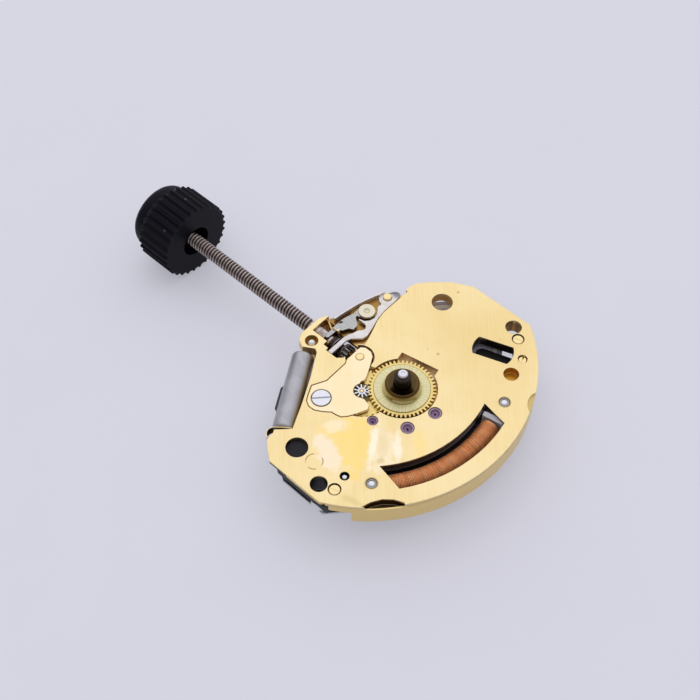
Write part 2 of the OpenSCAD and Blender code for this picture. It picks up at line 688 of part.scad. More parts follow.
module lever_spring() {
    z0 = -lever_floor + face_gap;
    z1 = -lever_top - lever_t - face_gap;
    color([0.78, 0.79, 0.82]) difference() {
        union() {
            slab(strip(spring_path, 0.09), z0, -lever_top - 0.01);
            peg(yoke_pin_at, 0.9, z0, z1);
            slab([yoke_pin_at + [0, -0.3], [4.9, -4.16], [4.9, -3.98], yoke_pin_at + [0, 0.2]],
                z0, z1);
        }
        peg(yoke_pin_at, yoke_pin_d, -1, 1);
    }
}

module yoke_pin() {
    color([0.93, 0.82, 0.55]) peg(yoke_pin_at, yoke_pin_d, -web_t, -lever_top + 0.1);
}

module coil_pins() {
    color([0.86, 0.86, 0.88]) union() {
        for (p = coil_pin_at) peg(p, coil_pin_d, -coil_z - core_t / 2, 0.01);
        for (p = coil_pin_at) peg(p, 0.3, -stator_z - stator_t, -coil_z - core_t / 2 + e, 24);
        peg(small_pin_at, 0.3, -board_z + 0.2, -0.06, 24);
        translate([0, 0, -0.5]) peg([5.42, 0.94], 0.5, 0, 0.2);
        translate([5.42, 0.94, -0.3]) sphere(d = 0.5, $fn = 32);
    }
}

module dial_screws() {
    color([0.93, 0.8, 0.5]) for (p = dial_screw_at)
        screw(p, dial_screw_d, -0.2, 0, 0.28, -0.5, 20, 0.06);
}

module plate_jewels() {
    color([0.45, 0.32, 0.5]) for (p = [rotor_at, second_at, third_at]) difference() {
        peg(p, p == third_at ? small_jewel_d : jewel_d, -web_t, -0.04);
        peg(p, 0.16, -2, 1, 24);
        peg(p, 0.3, -0.14, 1);
    }
}

module coil_core() {
    color([0.55, 0.55, 0.57]) difference() {
        union() {
            arc_ring(coil_r - core_w / 2, coil_r + core_w / 2, 133.8, 199.8, -coil_z - core_t / 2,
                -coil_z + core_t / 2);
            for (p = coil_pin_at) peg(p, coil_pin_d + 0.16, -coil_z - core_t / 2, -coil_z + core_t / 2);
        }
        for (p = coil_pin_at) peg(p, coil_pin_d, -2, 1);
    }
}

module coil_flanges() {
    color([0.62, 0.62, 0.64]) for (a = [coil_a0 - 0.4 - flange_a, coil_a1 + 0.4]) difference() {
        arc_ring(coil_r - flange_half, coil_r + flange_half, a, a + flange_a, -coil_z - flange_half,
            -coil_z + flange_half);
        arc_ring(coil_r - core_w / 2, coil_r + core_w / 2, a - 1, a + flange_a + 1, -coil_z - core_t / 2,
            -coil_z + core_t / 2);
    }
}

module coil_winding() {
    color([0.8, 0.48, 0.32]) difference() {
        translate([arc_x, -arc_drop, -coil_z]) rotate([0, 0, coil_a0])
            rotate_extrude(angle = coil_a1 - coil_a0, $fn = 96) translate([coil_r, 0])
            circle(d = coil_d, $fn = 32);
        arc_ring(coil_r - core_w / 2, coil_r + core_w / 2, coil_a0 - 1, coil_a1 + 1, -coil_z - core_t / 2,
            -coil_z + core_t / 2);
    }
}

// Outer layer of turns: one unbroken tube that winds round the bent coil
turn_rings = 24;
turn_sides = 6;
turn_r = coil_d / 2 + wire_d / 2 + face_gap;
turn_count = coil_turns_n * turn_rings;
turn_a0 = coil_a0 + 0.8;
turn_span = coil_a1 - coil_a0 - 1.6;
function turn_pt(i) = let (a = turn_a0 + turn_span * i / turn_count)
    let (b = 360 * i / turn_rings) let (r = coil_r + turn_r * cos(b))
    [arc_x + r * cos(a), r * sin(a) - arc_drop, turn_r * sin(b) - coil_z];
function turn_ring(i) = let (p = turn_pt(i))
    let (t = turn_pt(i + 0.5) - turn_pt(i - 0.5)) let (t1 = t / norm(t))
    let (b = 360 * i / turn_rings) let (a = turn_a0 + turn_span * i / turn_count)
    let (out = [cos(b) * cos(a), cos(b) * sin(a), sin(b)])
    let (u = cross(t1, out) / norm(cross(t1, out))) let (w = cross(u, t1))
    [for (k = [0:turn_sides - 1]) p + wire_d / 2 * (cos(k * 60) * w + sin(k * 60) * u)];
turn_gap = min([for (i = [0:turn_count - turn_rings])
    norm(turn_pt(i + turn_rings) - turn_pt(i))]) - wire_d;
echo(least_gap_between_turns = turn_gap);

module coil_turns() {
    n = turn_count;
    s = turn_sides;
    pts = [for (i = [0:n], p = turn_ring(i)) p];
    walls = [for (i = [0:n - 1], k = [0:s - 1]) let (a = i * s + k, b = i * s + (k + 1) % s)
        each [[a, a + s, b + s], [a, b + s, b]]];
    ends = [for (k = [1:s - 2]) each [[0, k, k + 1], [n * s, n * s + k + 1, n * s + k]]];
    color([0.86, 0.52, 0.34]) polyhedron(pts, concat(walls, ends));
}

module stator() {
    z1 = -stator_z;
    z0 = z1 - stator_t;
    color([0.6, 0.6, 0.62]) difference() {
        union() {
            arc_ring(stator_r - core_w / 2, stator_r + core_w / 2, 134, 201.5, z0, z1);
            peg(rotor_at, magnet_d + 2 * air_gap + 0.8, z0, z1);
            slab(strip([rotor_at, arc_at(stator_r, 180)], 1.2), z0, z1);
            for (p = coil_pin_at) peg(p, coil_pin_d + 0.12, z0, z1);
            slab(strip([coil_pin_at[0], arc_at(stator_r, 134)], 0.5), z0, z1);
            slab(strip([coil_pin_at[1], arc_at(stator_r, 201)], 0.6), z0, z1);
        }
        peg(rotor_at, magnet_d + 2 * air_gap, -3, 1);
        for (p = coil_pin_at) peg(p, 0.3, -3, 1, 24);
    }
}

module rotor() {
    color([0.4, 0.4, 0.43]) union() {
        peg(rotor_at, magnet_d, -stator_z - 0.24, -stator_z + 0.04);
        gear(rotor_at, rotor_leaves, second_m, -second_z - 0.16, -second_z + 0.05, rotor_phase);
        peg(rotor_at, 0.24, -train_bridge_z + 0.05, -stator_z + 0.1, 24);
        peg(rotor_at, 0.12, -train_bridge_z - 0.12, -web_t + 0.2, 24);
    }
}

module second_wheel() {
    color([0.86, 0.72, 0.42]) union() {
        gear(second_at, second_teeth, second_m, -second_z - train_t, -second_z, 0);
        gear(second_at, second_leaves, third_m, -second_z - e, -third_z + 0.06,
            second_pinion_phase);
        peg(second_at, 0.24, -train_bridge_z + 0.05, -web_t - 0.05, 24);
        peg(second_at, 0.12, -train_bridge_z - 0.12, -web_t + 0.2, 24);
    }
}

module third_wheel() {
    color([0.86, 0.72, 0.42]) union() {
        gear(third_at, third_teeth, third_m, -third_z - train_t, -third_z, 0);
        gear(third_at, third_leaves, centre_m, -third_z - e, -centre_z + 0.03,
            third_pinion_phase);
        peg(third_at, 0.24, -train_bridge_z + 0.05, -web_t - 0.03, 24);
        peg(third_at, 0.12, -train_bridge_z - 0.12, -web_t + 0.2, 24);
    }
}

train_plan = [[-3.3, -0.9], [-2.45, -1.85], [-1.7, -2.2], [-1.3, -1.6], [0.9, -0.9], [2.3, 1.05],
    [2.75, 1.7], [2.2, 2.2], [1.1, 3.2], [-0.3, 3.3], [-1.2, 4.1], [-1.9, 4.1], [-2.3, 3.2],
    [-3.2, 1.6]];

module train_bridge() {
    z1 = -train_bridge_z - face_gap;
    color([0.9, 0.76, 0.45]) difference() {
        slab(train_plan, z1 - train_bridge_t, z1);
        for (p = pillar_at) peg(p, 0.32, -3, 0);
        for (p = [rotor_at, second_at, third_at, [0, 0]]) peg(p, jewel_d, -3, 0);
    }
}

module train_bridge_screws() {
    z = train_bridge_z + face_gap + train_bridge_t;
    color([0.8, 0.8, 0.82]) for (p = pillar_at) back_screw(p, 0.72, z + 0.14, z, 0.28, web_t + 0.3, 30);
}

module bridge_jewels() {
    z1 = -train_bridge_z - face_gap;
    color([0.55, 0.2, 0.4]) for (p = [rotor_at, second_at, third_at, [0, 0]]) difference() {
        peg(p, jewel_d, z1 - train_bridge_t + 0.02, z1);
        peg(p, 0.18, -3, 0, 24);
    }
}

holder_plan = [[-1.62, 5.45], [2.2, 5.5], [2.5, 6.1], [2.45, 6.8], [1.7, 7.3], [1, flat_y - 0.02],
    [-1.62, flat_y - 0.02]];

module circuit_holder() {
    color([0.08, 0.08, 0.09]) difference() {
        union() {
            slab(holder_plan, -board_z + face_gap, -lip_t - face_gap);
            for (p = cover_screw_at) peg(p, 0.7, -cover_z, -board_z + 0.02);
        }
        translate([-3, flat_y - 0.25, -3]) cube([6, 1, 3 - 0.58]);
        peg(foot_at[0], foot_hole_d, -3, 1);
        peg(dial_screw_at[0], 0.32, -3, 1);
        peg(small_pin_at, 0.3, -3, 1, 24);
        for (p = cover_screw_at) peg(p, 0.26, -3, -board_z + 0.1, 24);
    }
}

board_plan = [[-1.9, 4.25], [0.95, 4.35], [1.9, 4], [2.9, 2.6], can_pt(-1.9, 0.75),
    can_pt(-2.6, 0.35), can_pt(-2.6, -0.35), can_pt(-1.2, -0.45), can_pt(-0.6, -0.86),
    can_pt(0.66, -0.87), can_pt(1.2, -0.5), can_pt(2.6, -0.5), [2.6, 6.75], [1.4, 7.25],
    [-1.4, 7.25], [-2.3, 6.3], [-2.4, 5]];

module circuit_board() {
    color([0.16, 0.3, 0.2]) difference() {
        slab(board_plan, -board_z - board_t, -board_z);
        peg(foot_at[0], foot_hole_d, -3, 1);
        for (p = cover_screw_at) peg(p, 0.76, -3, 1);
    }
}

module circuit_chip() {
    color([0.1, 0.1, 0.11])
        translate([chip_at[0] - chip_w / 2, chip_at[1] - chip_w / 2, -board_z - board_t - chip_t])
        cube([chip_w, chip_w, chip_t]);
}

cover_plan = [[-1.9, 4.4], [2.1, 4.4], [2.5, 5.4], [2.5, 6.6], [1.5, 7.2], [-1.2, 7.2], [-2.1, 6.2]];

module circuit_cover() {
    color([0.76, 0.76, 0.78]) difference() {
        slab(cover_plan, -cover_z - face_gap - cover_t, -cover_z - face_gap);
        peg(foot_at[0], foot_hole_d, -3, 1);
        for (p = cover_screw_at) peg(p, 0.3, -3, 1, 24);
    }
}

module cover_screws() {
    z = cover_z + face_gap + cover_t;
    color([0.8, 0.8, 0.82]) for (p = cover_screw_at)
        back_screw(p, 0.6, z + 0.12, z, 0.24, board_z + 0.1, 70);
}

module crystal_can() {
    color([0.66, 0.66, 0.68]) translate([can_mid[0], can_mid[1], -can_z])
        rotate([0, 0, can_dir]) rotate([0, 90, 0]) translate([0, 0, -can_len / 2])
        rotate_extrude($fn = 48) polygon([[0, 0], [can_d / 2 - 0.12, 0], [can_d / 2 - 0.03, 0.04],
            [can_d / 2, 0.14], [can_d / 2, can_len - 0.14], [can_d / 2 - 0.03, can_len - 0.04],
            [can_d / 2 - 0.12, can_len], [0, can_len]]);
}

module crystal_leads() {
    u = -can_len / 2;
    color([0.8, 0.8, 0.8]) for (v = [-0.18, 0.18]) {
        p = can_pt(u - 0.1, v);
        translate([p[0], p[1], -can_z]) rotate([0, 0, can_dir]) rotate([0, 90, 0])
            cylinder(h = 0.1, d = 0.12, $fn = 24);
        translate([p[0], p[1], -can_z]) sphere(d = 0.12, $fn = 24);
        peg(p, 0.12, -board_z, -can_z, 24);
    }
}

clip_path = [can_pt(end_u + 0.05, 0.5), can_pt(end_u + 0.08, 0), can_pt(end_u + 0.15, -0.4),
    can_pt(end_u + 0.21, -0.54), can_pt(end_u + 0.33, -0.66), can_pt(end_u + 0.5, -0.7),
    can_pt(end_u + 0.68, -0.66), can_pt(end_u + 0.8, -0.57)];

module crystal_clip() {
    color([0.9, 0.76, 0.46]) slab(strip(clip_path, 0.04), -0.55, -0.02);
}

module battery_can() {
    color([0.62, 0.63, 0.66]) difference() {
        peg(cell_at, cell_d, -cell_back, -cell_z - 0.08, 96);
        peg(cell_at, cap_d + 0.42, -cell_z - 0.18, 1, 96);
    }
}

module battery_seal() {
    color([0.93, 0.92, 0.88]) difference() {
        peg(cell_at, cap_d + 0.42, -cell_z - 0.18, -cell_z - 0.06, 96);
        peg(cell_at, cap_d, -3, 1, 96);
    }
}

module battery_cap() {
    color([0.5, 0.51, 0.55]) peg(cell_at, cap_d, -cell_z - 0.18, -cell_z, 96);
}

module battery_contact() {
    tip = [-1.35, -4.9];
    z0 = -cell_z + face_gap;
    color([0.75, 0.72, 0.62]) difference() {
        union() {
            peg(tip, 0.7, z0, z0 + 0.06);
            slab([contact_screw_at + [-0.3, -0.2], contact_screw_at + [0.3, -0.3],
                tip + [0.1, -0.34], tip + [-0.1, 0.34], contact_screw_at + [0.1, 0.34]], z0, z0 + 0.06);
        }
        peg(contact_screw_at, 0.24, -3, 1, 24);
    }
}

module contact_screw() {
    color([0.93, 0.8, 0.5])
        screw(contact_screw_at, 0.42, -0.29, -0.08, 0.22, -cell_z - 0.02, 110, 0.08);
}

strap_plan = concat([for (d = [[-0.5, -0.35], [-0.2, -0.55]]) strap_post_at[0] + d], [[-0.6, -3.9]],
    [for (d = [[-0.2, -0.6], [0.5, -0.2], [0.4, 0.4], [-0.2, 0.5]]) strap_post_at[1] + d],
    [[2.2, -1.4], [-0.8, -2.7]], [for (d = [[0.1, 0.5], [-0.4, 0.35]]) strap_post_at[0] + d]);

module battery_strap() {
    z1 = -cell_back - face_gap;
    color([0.78, 0.78, 0.8]) difference() {
        slab(strap_plan, z1 - strap_t, z1);
        for (p = strap_post_at) peg(p, 0.32, -4, 0, 24);
    }
}

module strap_screws() {
    z = cell_back + face_gap + strap_t;
    color([0.8, 0.8, 0.82]) for (p = strap_post_at) back_screw(p, 0.74, z + 0.07, z, 0.28, web_t + 0.4, 60);
}

module stem_cover() {
    color([0.76, 0.76, 0.78]) difference() {
        slab([[3.05, -0.66], [5.55, -0.75], [5.95, -0.3], [5.95, 0.7], [5.7, 1.02], [4.9, 1.02],
            [3.05, 0.66]], -stem_cover_z - 0.1, -stem_cover_z);
        peg([5.4, 0.75], 0.32, -3, 0, 24);
    }
}

module stem_cover_screw() {
    z = stem_cover_z + 0.1;
    color([0.8, 0.8, 0.82]) back_screw([5.4, 0.75], 0.56, z + 0.12, z, 0.28, 1.1, 15);
}

main_plate();
motion_work_bridge();
bridge_screw();
hour_wheel();
dial_washer();
cannon_pinion();
centre_arbor();
centre_wheel();
minute_wheel();
minute_pinion();
setting_wheel();
motion_posts();
sliding_pinion();
stem();
knob();
setting_lever();
lever_axle();
yoke();
lever_spring();
yoke_pin();
coil_pins();
dial_screws();
plate_jewels();
coil_core();
coil_flanges();
coil_winding();
coil_turns();
stator();
rotor();
second_wheel();
third_wheel();
train_bridge();
train_bridge_screws();
bridge_jewels();
circuit_holder();
circuit_board();
circuit_chip();
circuit_cover();
cover_screws();
crystal_can();
crystal_leads();
crystal_clip();
battery_can();
battery_seal();
battery_cap();
battery_contact();
contact_screw();
battery_strap();
strap_screws();
stem_cover();
stem_cover_screw();
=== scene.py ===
import json
from math import cos, pi, radians, sin, tau
from random import Random

import bmesh
import bpy
from mathutils import Matrix, Vector

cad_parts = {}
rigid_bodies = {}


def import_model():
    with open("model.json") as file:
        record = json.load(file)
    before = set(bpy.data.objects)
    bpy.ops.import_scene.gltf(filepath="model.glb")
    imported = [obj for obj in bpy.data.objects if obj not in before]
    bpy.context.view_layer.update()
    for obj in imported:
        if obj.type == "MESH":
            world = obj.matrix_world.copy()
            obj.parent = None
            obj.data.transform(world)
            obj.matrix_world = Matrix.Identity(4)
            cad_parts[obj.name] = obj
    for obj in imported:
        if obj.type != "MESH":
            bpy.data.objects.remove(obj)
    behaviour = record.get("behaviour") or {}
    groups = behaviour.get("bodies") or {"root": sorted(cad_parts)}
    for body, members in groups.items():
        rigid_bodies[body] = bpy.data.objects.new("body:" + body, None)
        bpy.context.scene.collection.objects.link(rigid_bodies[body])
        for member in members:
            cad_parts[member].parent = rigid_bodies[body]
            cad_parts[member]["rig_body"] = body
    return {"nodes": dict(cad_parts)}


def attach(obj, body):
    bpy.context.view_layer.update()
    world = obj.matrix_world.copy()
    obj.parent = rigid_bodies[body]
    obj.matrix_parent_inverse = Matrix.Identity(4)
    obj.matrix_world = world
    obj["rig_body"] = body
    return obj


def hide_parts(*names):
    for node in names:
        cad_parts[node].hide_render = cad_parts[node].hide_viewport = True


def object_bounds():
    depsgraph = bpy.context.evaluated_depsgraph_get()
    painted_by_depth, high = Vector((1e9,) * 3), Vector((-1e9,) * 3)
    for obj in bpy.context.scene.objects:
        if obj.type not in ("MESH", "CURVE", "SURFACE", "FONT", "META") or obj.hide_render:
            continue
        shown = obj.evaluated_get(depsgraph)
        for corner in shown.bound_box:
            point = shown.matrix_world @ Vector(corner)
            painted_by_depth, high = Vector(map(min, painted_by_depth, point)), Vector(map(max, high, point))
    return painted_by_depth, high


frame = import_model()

# Everything is modelled in millimetres in the part's frame and put down in metres
MM = 0.001
cad_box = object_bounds()
nodes = frame["nodes"]

# Places on the plate, dial side
HANDS = (0.0, 0.0)
ARC_CENTRE = (2.67, -0.3)
COIL_R = 7.28
MINUTE = (1.3913, 1.492)
SETTING = (2.8681, 0.0151)
BRIDGE_SCREW = (2.6, 3.2)
AXLE = (4.6, -2.45)
YOKE_PIN = (4.46, -3.94)
BALL_PIN = (5.42, 0.94)
SMALL_PIN = (-1.3, 5.7)
CONTACT_SCREW = (-3.4, -5.55)
COIL_PINS = [(-2.519, 5.12), (-4.35, -2.83)]
DIAL_SCREWS = [(-1.43, 6.55), (-2.45, -6.4)]
ROTOR = (-2.2, 0.02)
SECOND = (-1.75, 1.6)
THIRD = (-0.2, 2.45)
PILLARS = [(2.2, 1.6), (-1.9, -1.75), (-1.55, 3.68)]
STRAP_POSTS = [(-3.1, -3.55), (3.3, -1.5)]
COVER_SCREWS = [(-0.5, 6), (1.75, 6.6)]
COVER_PLATE_SCREW = (5.4, 0.75)
CELL = (0.45, -4.25)
CELL_WINDOW = (-1.93, -4.95)
FOOT_HOLES = [(-0.68, 6.85), (-1.8, -6.85)]
BLIND_HOLE = (-3.55, -4.4)
CAN_MID = (4.108, 3.67)
CAN_TURN = 121.3
STEM_Z = -0.635
PLATE_JEWELS = ((ROTOR, 0.35), (SECOND, 0.35), (THIRD, 0.28))
MOTION_MODULE = 0.070345


# Camera and stage

def tone(red, green, blue):
    """Linear colour of an sRGB tone of 0 to 255."""
    def linear(value):
        value = value / 255
        return value / 12.92 if value <= 0.04045 else ((value + 0.055) / 1.055) ** 2.4
    return (linear(red), linear(green), linear(blue), 1.0)


def linked(name, data):
    """An object of the scene for some data."""
    holder = bpy.data.objects.new(name, data)
    bpy.context.scene.collection.objects.link(holder)
    return holder


def add_camera():
    lens = bpy.data.cameras.new("photo_camera")
    lens.lens = 59.14
    lens.sensor_width = 36
    lens.clip_start = 0.001
    lens.clip_end = 5
    camera = linked("photo_camera", lens)
    camera.location = Vector((-19.87, 25.58, 48.38)) * MM
    looking = Vector((0.3933, -0.4292, -0.8131))
    camera.rotation_euler = looking.to_track_quat("-Z", "Y").to_euler()
    bpy.context.scene.camera = camera


# Shader nodes. Lengths are in millimetres.

SPECK_RADIUS = 0.16
SOFT_SIDE = 0.012


def spaced(values):
    return {label.replace("_", " "): value for label, value in values.items()}


def feed(tree, node, inputs):
    """Sets a node's inputs, by name or number, to values or links them to sockets."""
    for key, value in inputs.items():
        if isinstance(value, bpy.types.NodeSocket):
            tree.links.new(value, node.inputs[key])
        else:
            node.inputs[key].default_value = value


def shade(tree, kind, inputs=None, **settings):
    """Adds a shader node."""
    made = tree.nodes.new("ShaderNode" + kind)
    for key, value in settings.items():
        setattr(made, key, value)
    feed(tree, made, inputs or {})
    return made


def sums(tree, operation, a, b=0.0, c=0.0):
    return shade(tree, "Math", {0: a, 1: b, 2: c}, operation=operation).outputs[0]


def ramp(tree, value, painted_by_depth, high, start=0.0, end=1.0):
    """Smooth step of a value between two limits."""
    made = shade(tree, "MapRange", {"Value": value, "From Min": painted_by_depth, "From Max": high,
        "To Min": start, "To Max": end}, interpolation_type="SMOOTHSTEP")
    return made.outputs["Result"]


def noise(tree, detail, scale=1.0, dimensions="3D", **inputs):
    """Noise over a Vector, or along W where it has one dimension."""
    made = shade(tree, "TexNoise", {"Scale": scale, "Detail": detail, **inputs},
        noise_dimensions=dimensions)
    return made.outputs["Fac"]


def node_group(**values):
    """Turns a function that wires a group and returns its outputs by name into that group."""
    def made(wire):
        tree = bpy.data.node_groups.new(wire.__name__, "ShaderNodeTree")
        tree.interface.new_socket(name="Place", in_out="INPUT", socket_type="NodeSocketVector")
        for label, value in spaced(values).items():
            socket = tree.interface.new_socket(name=label, in_out="INPUT", socket_type="NodeSocketFloat")
            socket.default_value = value
        outputs = wire(tree, tree.nodes.new("NodeGroupInput").outputs)
        for label in outputs:
            tree.interface.new_socket(name=label, in_out="OUTPUT", socket_type="NodeSocketFloat")
        feed(tree, tree.nodes.new("NodeGroupOutput"), outputs)
        return tree
    return made


def distance(tree, x, y):
    return sums(tree, "SQRT", sums(tree, "MULTIPLY_ADD", x, x, sums(tree, "MULTIPLY", y, y)))


def from_centre(tree, given):
    """Millimetres along X and Y from the group's centre."""
    place = shade(tree, "SeparateXYZ", {0: given["Place"]})
    return [sums(tree, "SUBTRACT", sums(tree, "DIVIDE", place.outputs[axis], MM), given[label])
        for axis, label in ((0, "Centre X"), (1, "Centre Y"))]


@node_group(Turn=0.0, Across=0.05, Along=1.0)
def brushed_streaks(tree, given):
    """Fine straight grain: long narrow noise, turned about the dial's axis."""
    turned = shade(tree, "VectorRotate", {"Vector": given["Place"], "Angle": given["Turn"]},
        rotation_type="Z_AXIS")
    across = sums(tree, "DIVIDE", 1 / MM, given["Across"])
    along = sums(tree, "DIVIDE", 1 / MM, given["Along"])
    size = shade(tree, "CombineXYZ", {0: along, 1: across, 2: across})
    spread = shade(tree, "VectorMath", {0: turned.outputs[0], 1: size.outputs[0]}, operation="MULTIPLY")
    return {"Streak": noise(tree, 3.0, Vector=spread.outputs[0], Roughness=0.6)}


@node_group(Size=1.0, Cover=0.4, Edge=0.1)
def soft_patches(tree, given):
    """Soft blotches such as stains, milky haze and uneven plating."""
    scale = sums(tree, "DIVIDE", 1 / MM, given["Size"])
    blotches = noise(tree, 4.0, scale, Vector=given["Place"], Roughness=0.55, Distortion=0.6)
    middle = sums(tree, "SUBTRACT", 1.0, given["Cover"])
    painted_by_depth = sums(tree, "SUBTRACT", middle, given["Edge"])
    high = sums(tree, "ADD", middle, given["Edge"])
    return {"Mask": ramp(tree, blotches, painted_by_depth, high)}


@node_group(Size=0.3, Amount=0.2)
def dust_specks(tree, given):
    """Dust: a few small round spots."""
    scale = sums(tree, "DIVIDE", 1 / MM, given["Size"])
    cells = shade(tree, "TexVoronoi", {"Vector": given["Place"], "Scale": scale})
    chosen = shade(tree, "SeparateXYZ", {0: cells.outputs["Color"]})
    near_minute_painted_shade = sums(tree, "LESS_THAN", cells.outputs["Distance"], SPECK_RADIUS)
    few = sums(tree, "LESS_THAN", chosen.outputs[0], given["Amount"])
    return {"Mask": sums(tree, "MULTIPLY", near_minute_painted_shade, few)}


@node_group(Amount=0.6)
def rubbed_edges(tree, given):
    """Bright rubbed edges, broken up by noise. It reads the pieces' own edge attribute."""
    edge = shade(tree, "Attribute", attribute_name="edge")
    broken = ramp(tree, noise(tree, 2.0, 2.5 / MM, Vector=given["Place"]), 0.3, 0.6, 0.35, 1.0)
    mask = sums(tree, "MULTIPLY", edge.outputs["Fac"], sums(tree, "MULTIPLY", broken, given["Amount"]))
    return {"Mask": mask}


@node_group(Centre_X=0.0, Centre_Y=0.0, Ring=0.03, Rays=60.0)
def turned_face(tree, given):
    """Rings and rays about an upright axis: turned faces, lapped washers."""
    x, y = from_centre(tree, given)
    radius = distance(tree, x, y)
    round_it = sums(tree, "MULTIPLY", sums(tree, "ARCTAN2", y, x), given["Rays"])
    rings = noise(tree, 2.0, dimensions="1D", W=sums(tree, "DIVIDE", radius, given["Ring"]))
    rays = noise(tree, 1.0, dimensions="1D", W=round_it)
    return {"Rings": rings, "Rays": rays, "Radius": radius}


@node_group(Centre_X=0.0, Centre_Y=0.0, Long=1.0, Wide=1.0, Turn=0.0, Edge=0.2, Ragged=0.5)
def stain_spot(tree, given):
    """One soft stain with a ragged edge, longer one way."""
    centre = shade(tree, "CombineXYZ", {0: sums(tree, "MULTIPLY", given["Centre X"], MM),
        1: sums(tree, "MULTIPLY", given["Centre Y"], MM)})
    away = shade(tree, "VectorMath", {0: given["Place"], 1: centre.outputs[0]}, operation="SUBTRACT")
    turned = shade(tree, "VectorRotate", {"Vector": away.outputs[0],
        "Angle": sums(tree, "MULTIPLY", given["Turn"], -1.0)}, rotation_type="Z_AXIS")
    part = shade(tree, "SeparateXYZ", {0: turned.outputs[0]})
    u = sums(tree, "DIVIDE", sums(tree, "DIVIDE", part.outputs[0], MM), given["Long"])
    v = sums(tree, "DIVIDE", sums(tree, "DIVIDE", part.outputs[1], MM), given["Wide"])
    reach = distance(tree, u, v)
    tear = sums(tree, "SUBTRACT", noise(tree, 4.0, 1.5 / MM, Vector=given["Place"]), 0.5)
    torn = sums(tree, "MULTIPLY", tear, given["Ragged"])
    value = sums(tree, "ADD", reach, torn)
    outer = sums(tree, "ADD", given["Edge"], 1.0)
    inner = sums(tree, "SUBTRACT", 1.0, given["Edge"])
    return {"Mask": ramp(tree, value, outer, inner)}


@node_group(Centre_X=0.0, Centre_Y=0.0, Inner=0.3, Outer=0.4)
def ring_mark(tree, given):
    """A ring between two radii round a point of the dial face, with soft sides."""
    radius = distance(tree, *from_centre(tree, given))
    rise = ramp(tree, radius, sums(tree, "SUBTRACT", given["Inner"], SOFT_SIDE), given["Inner"])
    fall = ramp(tree, radius, sums(tree, "ADD", given["Outer"], SOFT_SIDE), given["Outer"])
    return {"Mask": sums(tree, "MULTIPLY", rise, fall)}


class Finish:
    """One material, built up in coats over a plain colour."""

    def __init__(self, name, colour, rough, metal=1.0, **sockets):
        self.material = bpy.data.materials.new(name)
        self.material.use_nodes = True
        self.tree = self.material.node_tree
        self.shader = self.tree.nodes["Principled BSDF"]
        self.place = shade(self.tree, "TexCoord").outputs["Object"]
        self.colour = tone(*colour)
        self.rough = rough
        self.height = None
        feed(self.tree, self.shader, {"Metallic": metal, **spaced(sockets)})

    def group(self, group, out=0, **inputs):
        made = self.tree.nodes.new("ShaderNodeGroup")
        made.node_tree = group
        feed(self.tree, made, {"Place": self.place, **spaced(inputs)})
        return made.outputs[out]

    def streaks(self, turn, across, along):
        return self.group(brushed_streaks, Turn=radians(turn), Across=across, Along=along)

    def patches(self, size, cover, edge):
        return self.group(soft_patches, Size=size, Cover=cover, Edge=edge)

    def spot(self, x, y, long, wide, turn, edge, ragged):
        return self.group(stain_spot, Centre_X=x, Centre_Y=y, Long=long, Wide=wide, Turn=radians(turn),
            Edge=edge, Ragged=ragged)

    def turning(self, out, at=HANDS, **values):
        return self.group(turned_face, out, Centre_X=at[0], Centre_Y=at[1], **values)

    def ring(self, at, inner, outer):
        return self.group(ring_mark, Centre_X=at[0], Centre_Y=at[1], Inner=inner, Outer=outer)

    def times(self, mask, other):
        return sums(self.tree, "MULTIPLY", mask, other)

    def step(self, value, painted_by_depth, high):
        return ramp(self.tree, value, painted_by_depth, high)

    def tint(self, colour, mask, amount=1.0):
        """Lays another sRGB tone over the mask."""
        if amount != 1.0:
            mask = self.times(mask, amount)
        mixed = shade(self.tree, "Mix", {0: mask, 6: self.colour, 7: tone(*colour)}, data_type="RGBA")
        self.colour = mixed.outputs[2]
        return self

    def wear(self, colour, amount):
        """Lays a tone over the rubbed edges."""
        return self.tint(colour, self.group(rubbed_edges, Amount=amount))

    def roughen(self, mask, amount):
        self.rough = sums(self.tree, "MULTIPLY_ADD", mask, amount, self.rough)
        return self

    def lift(self, mask, height):
        """Raises the surface by a height in millimetres where the mask is 1."""
        step = sums(self.tree, "MULTIPLY", mask, height * MM)
        self.height = step if self.height is None else sums(self.tree, "ADD", self.height, step)
        return self

    def grain(self, mask, colour, amount, rougher=0.0, height=0.0):
        """Lets one mask tint, roughen and lift the surface."""
        self.tint(colour, mask, amount)
        if rougher:
            self.roughen(mask, rougher)
        return self.lift(mask, height) if height else self

    def axis(self, number):
        """One coordinate of the place in millimetres."""
        place = shade(self.tree, "SeparateXYZ", {0: self.place})
        return sums(self.tree, "DIVIDE", place.outputs[number], MM)

    def depth(self):
        """Height over the dial face."""
        return self.axis(2)

    def done(self):
        inputs = {"Base Color": self.colour, "Roughness": self.rough}
        if self.height is not None:
            bump = shade(self.tree, "Bump", {"Height": self.height, "Distance": 1.0, "Strength": 1.0})
            inputs["Normal"] = bump.outputs[0]
        feed(self.tree, self.shader, inputs)
        return self.material


def coated(colour, rough, metal=1.0, **sockets):
    """Turns a function that lays coats over a plain sRGB tone into one that makes the material."""
    def wrap(lay):
        def made():
            coat = Finish(lay.__name__, colour, rough, metal, **sockets)
            lay(coat)
            return coat.done()
        return made
    return wrap


# Materials

GRAIN_TURN = 47.5
# Radii about the long arc's centre
WALL_RADII = (8.45, 8.3)
NOTCH_RADII = (8.76, 8.7)
COIL_WINDOW_RADII = (6.35, 8.06)


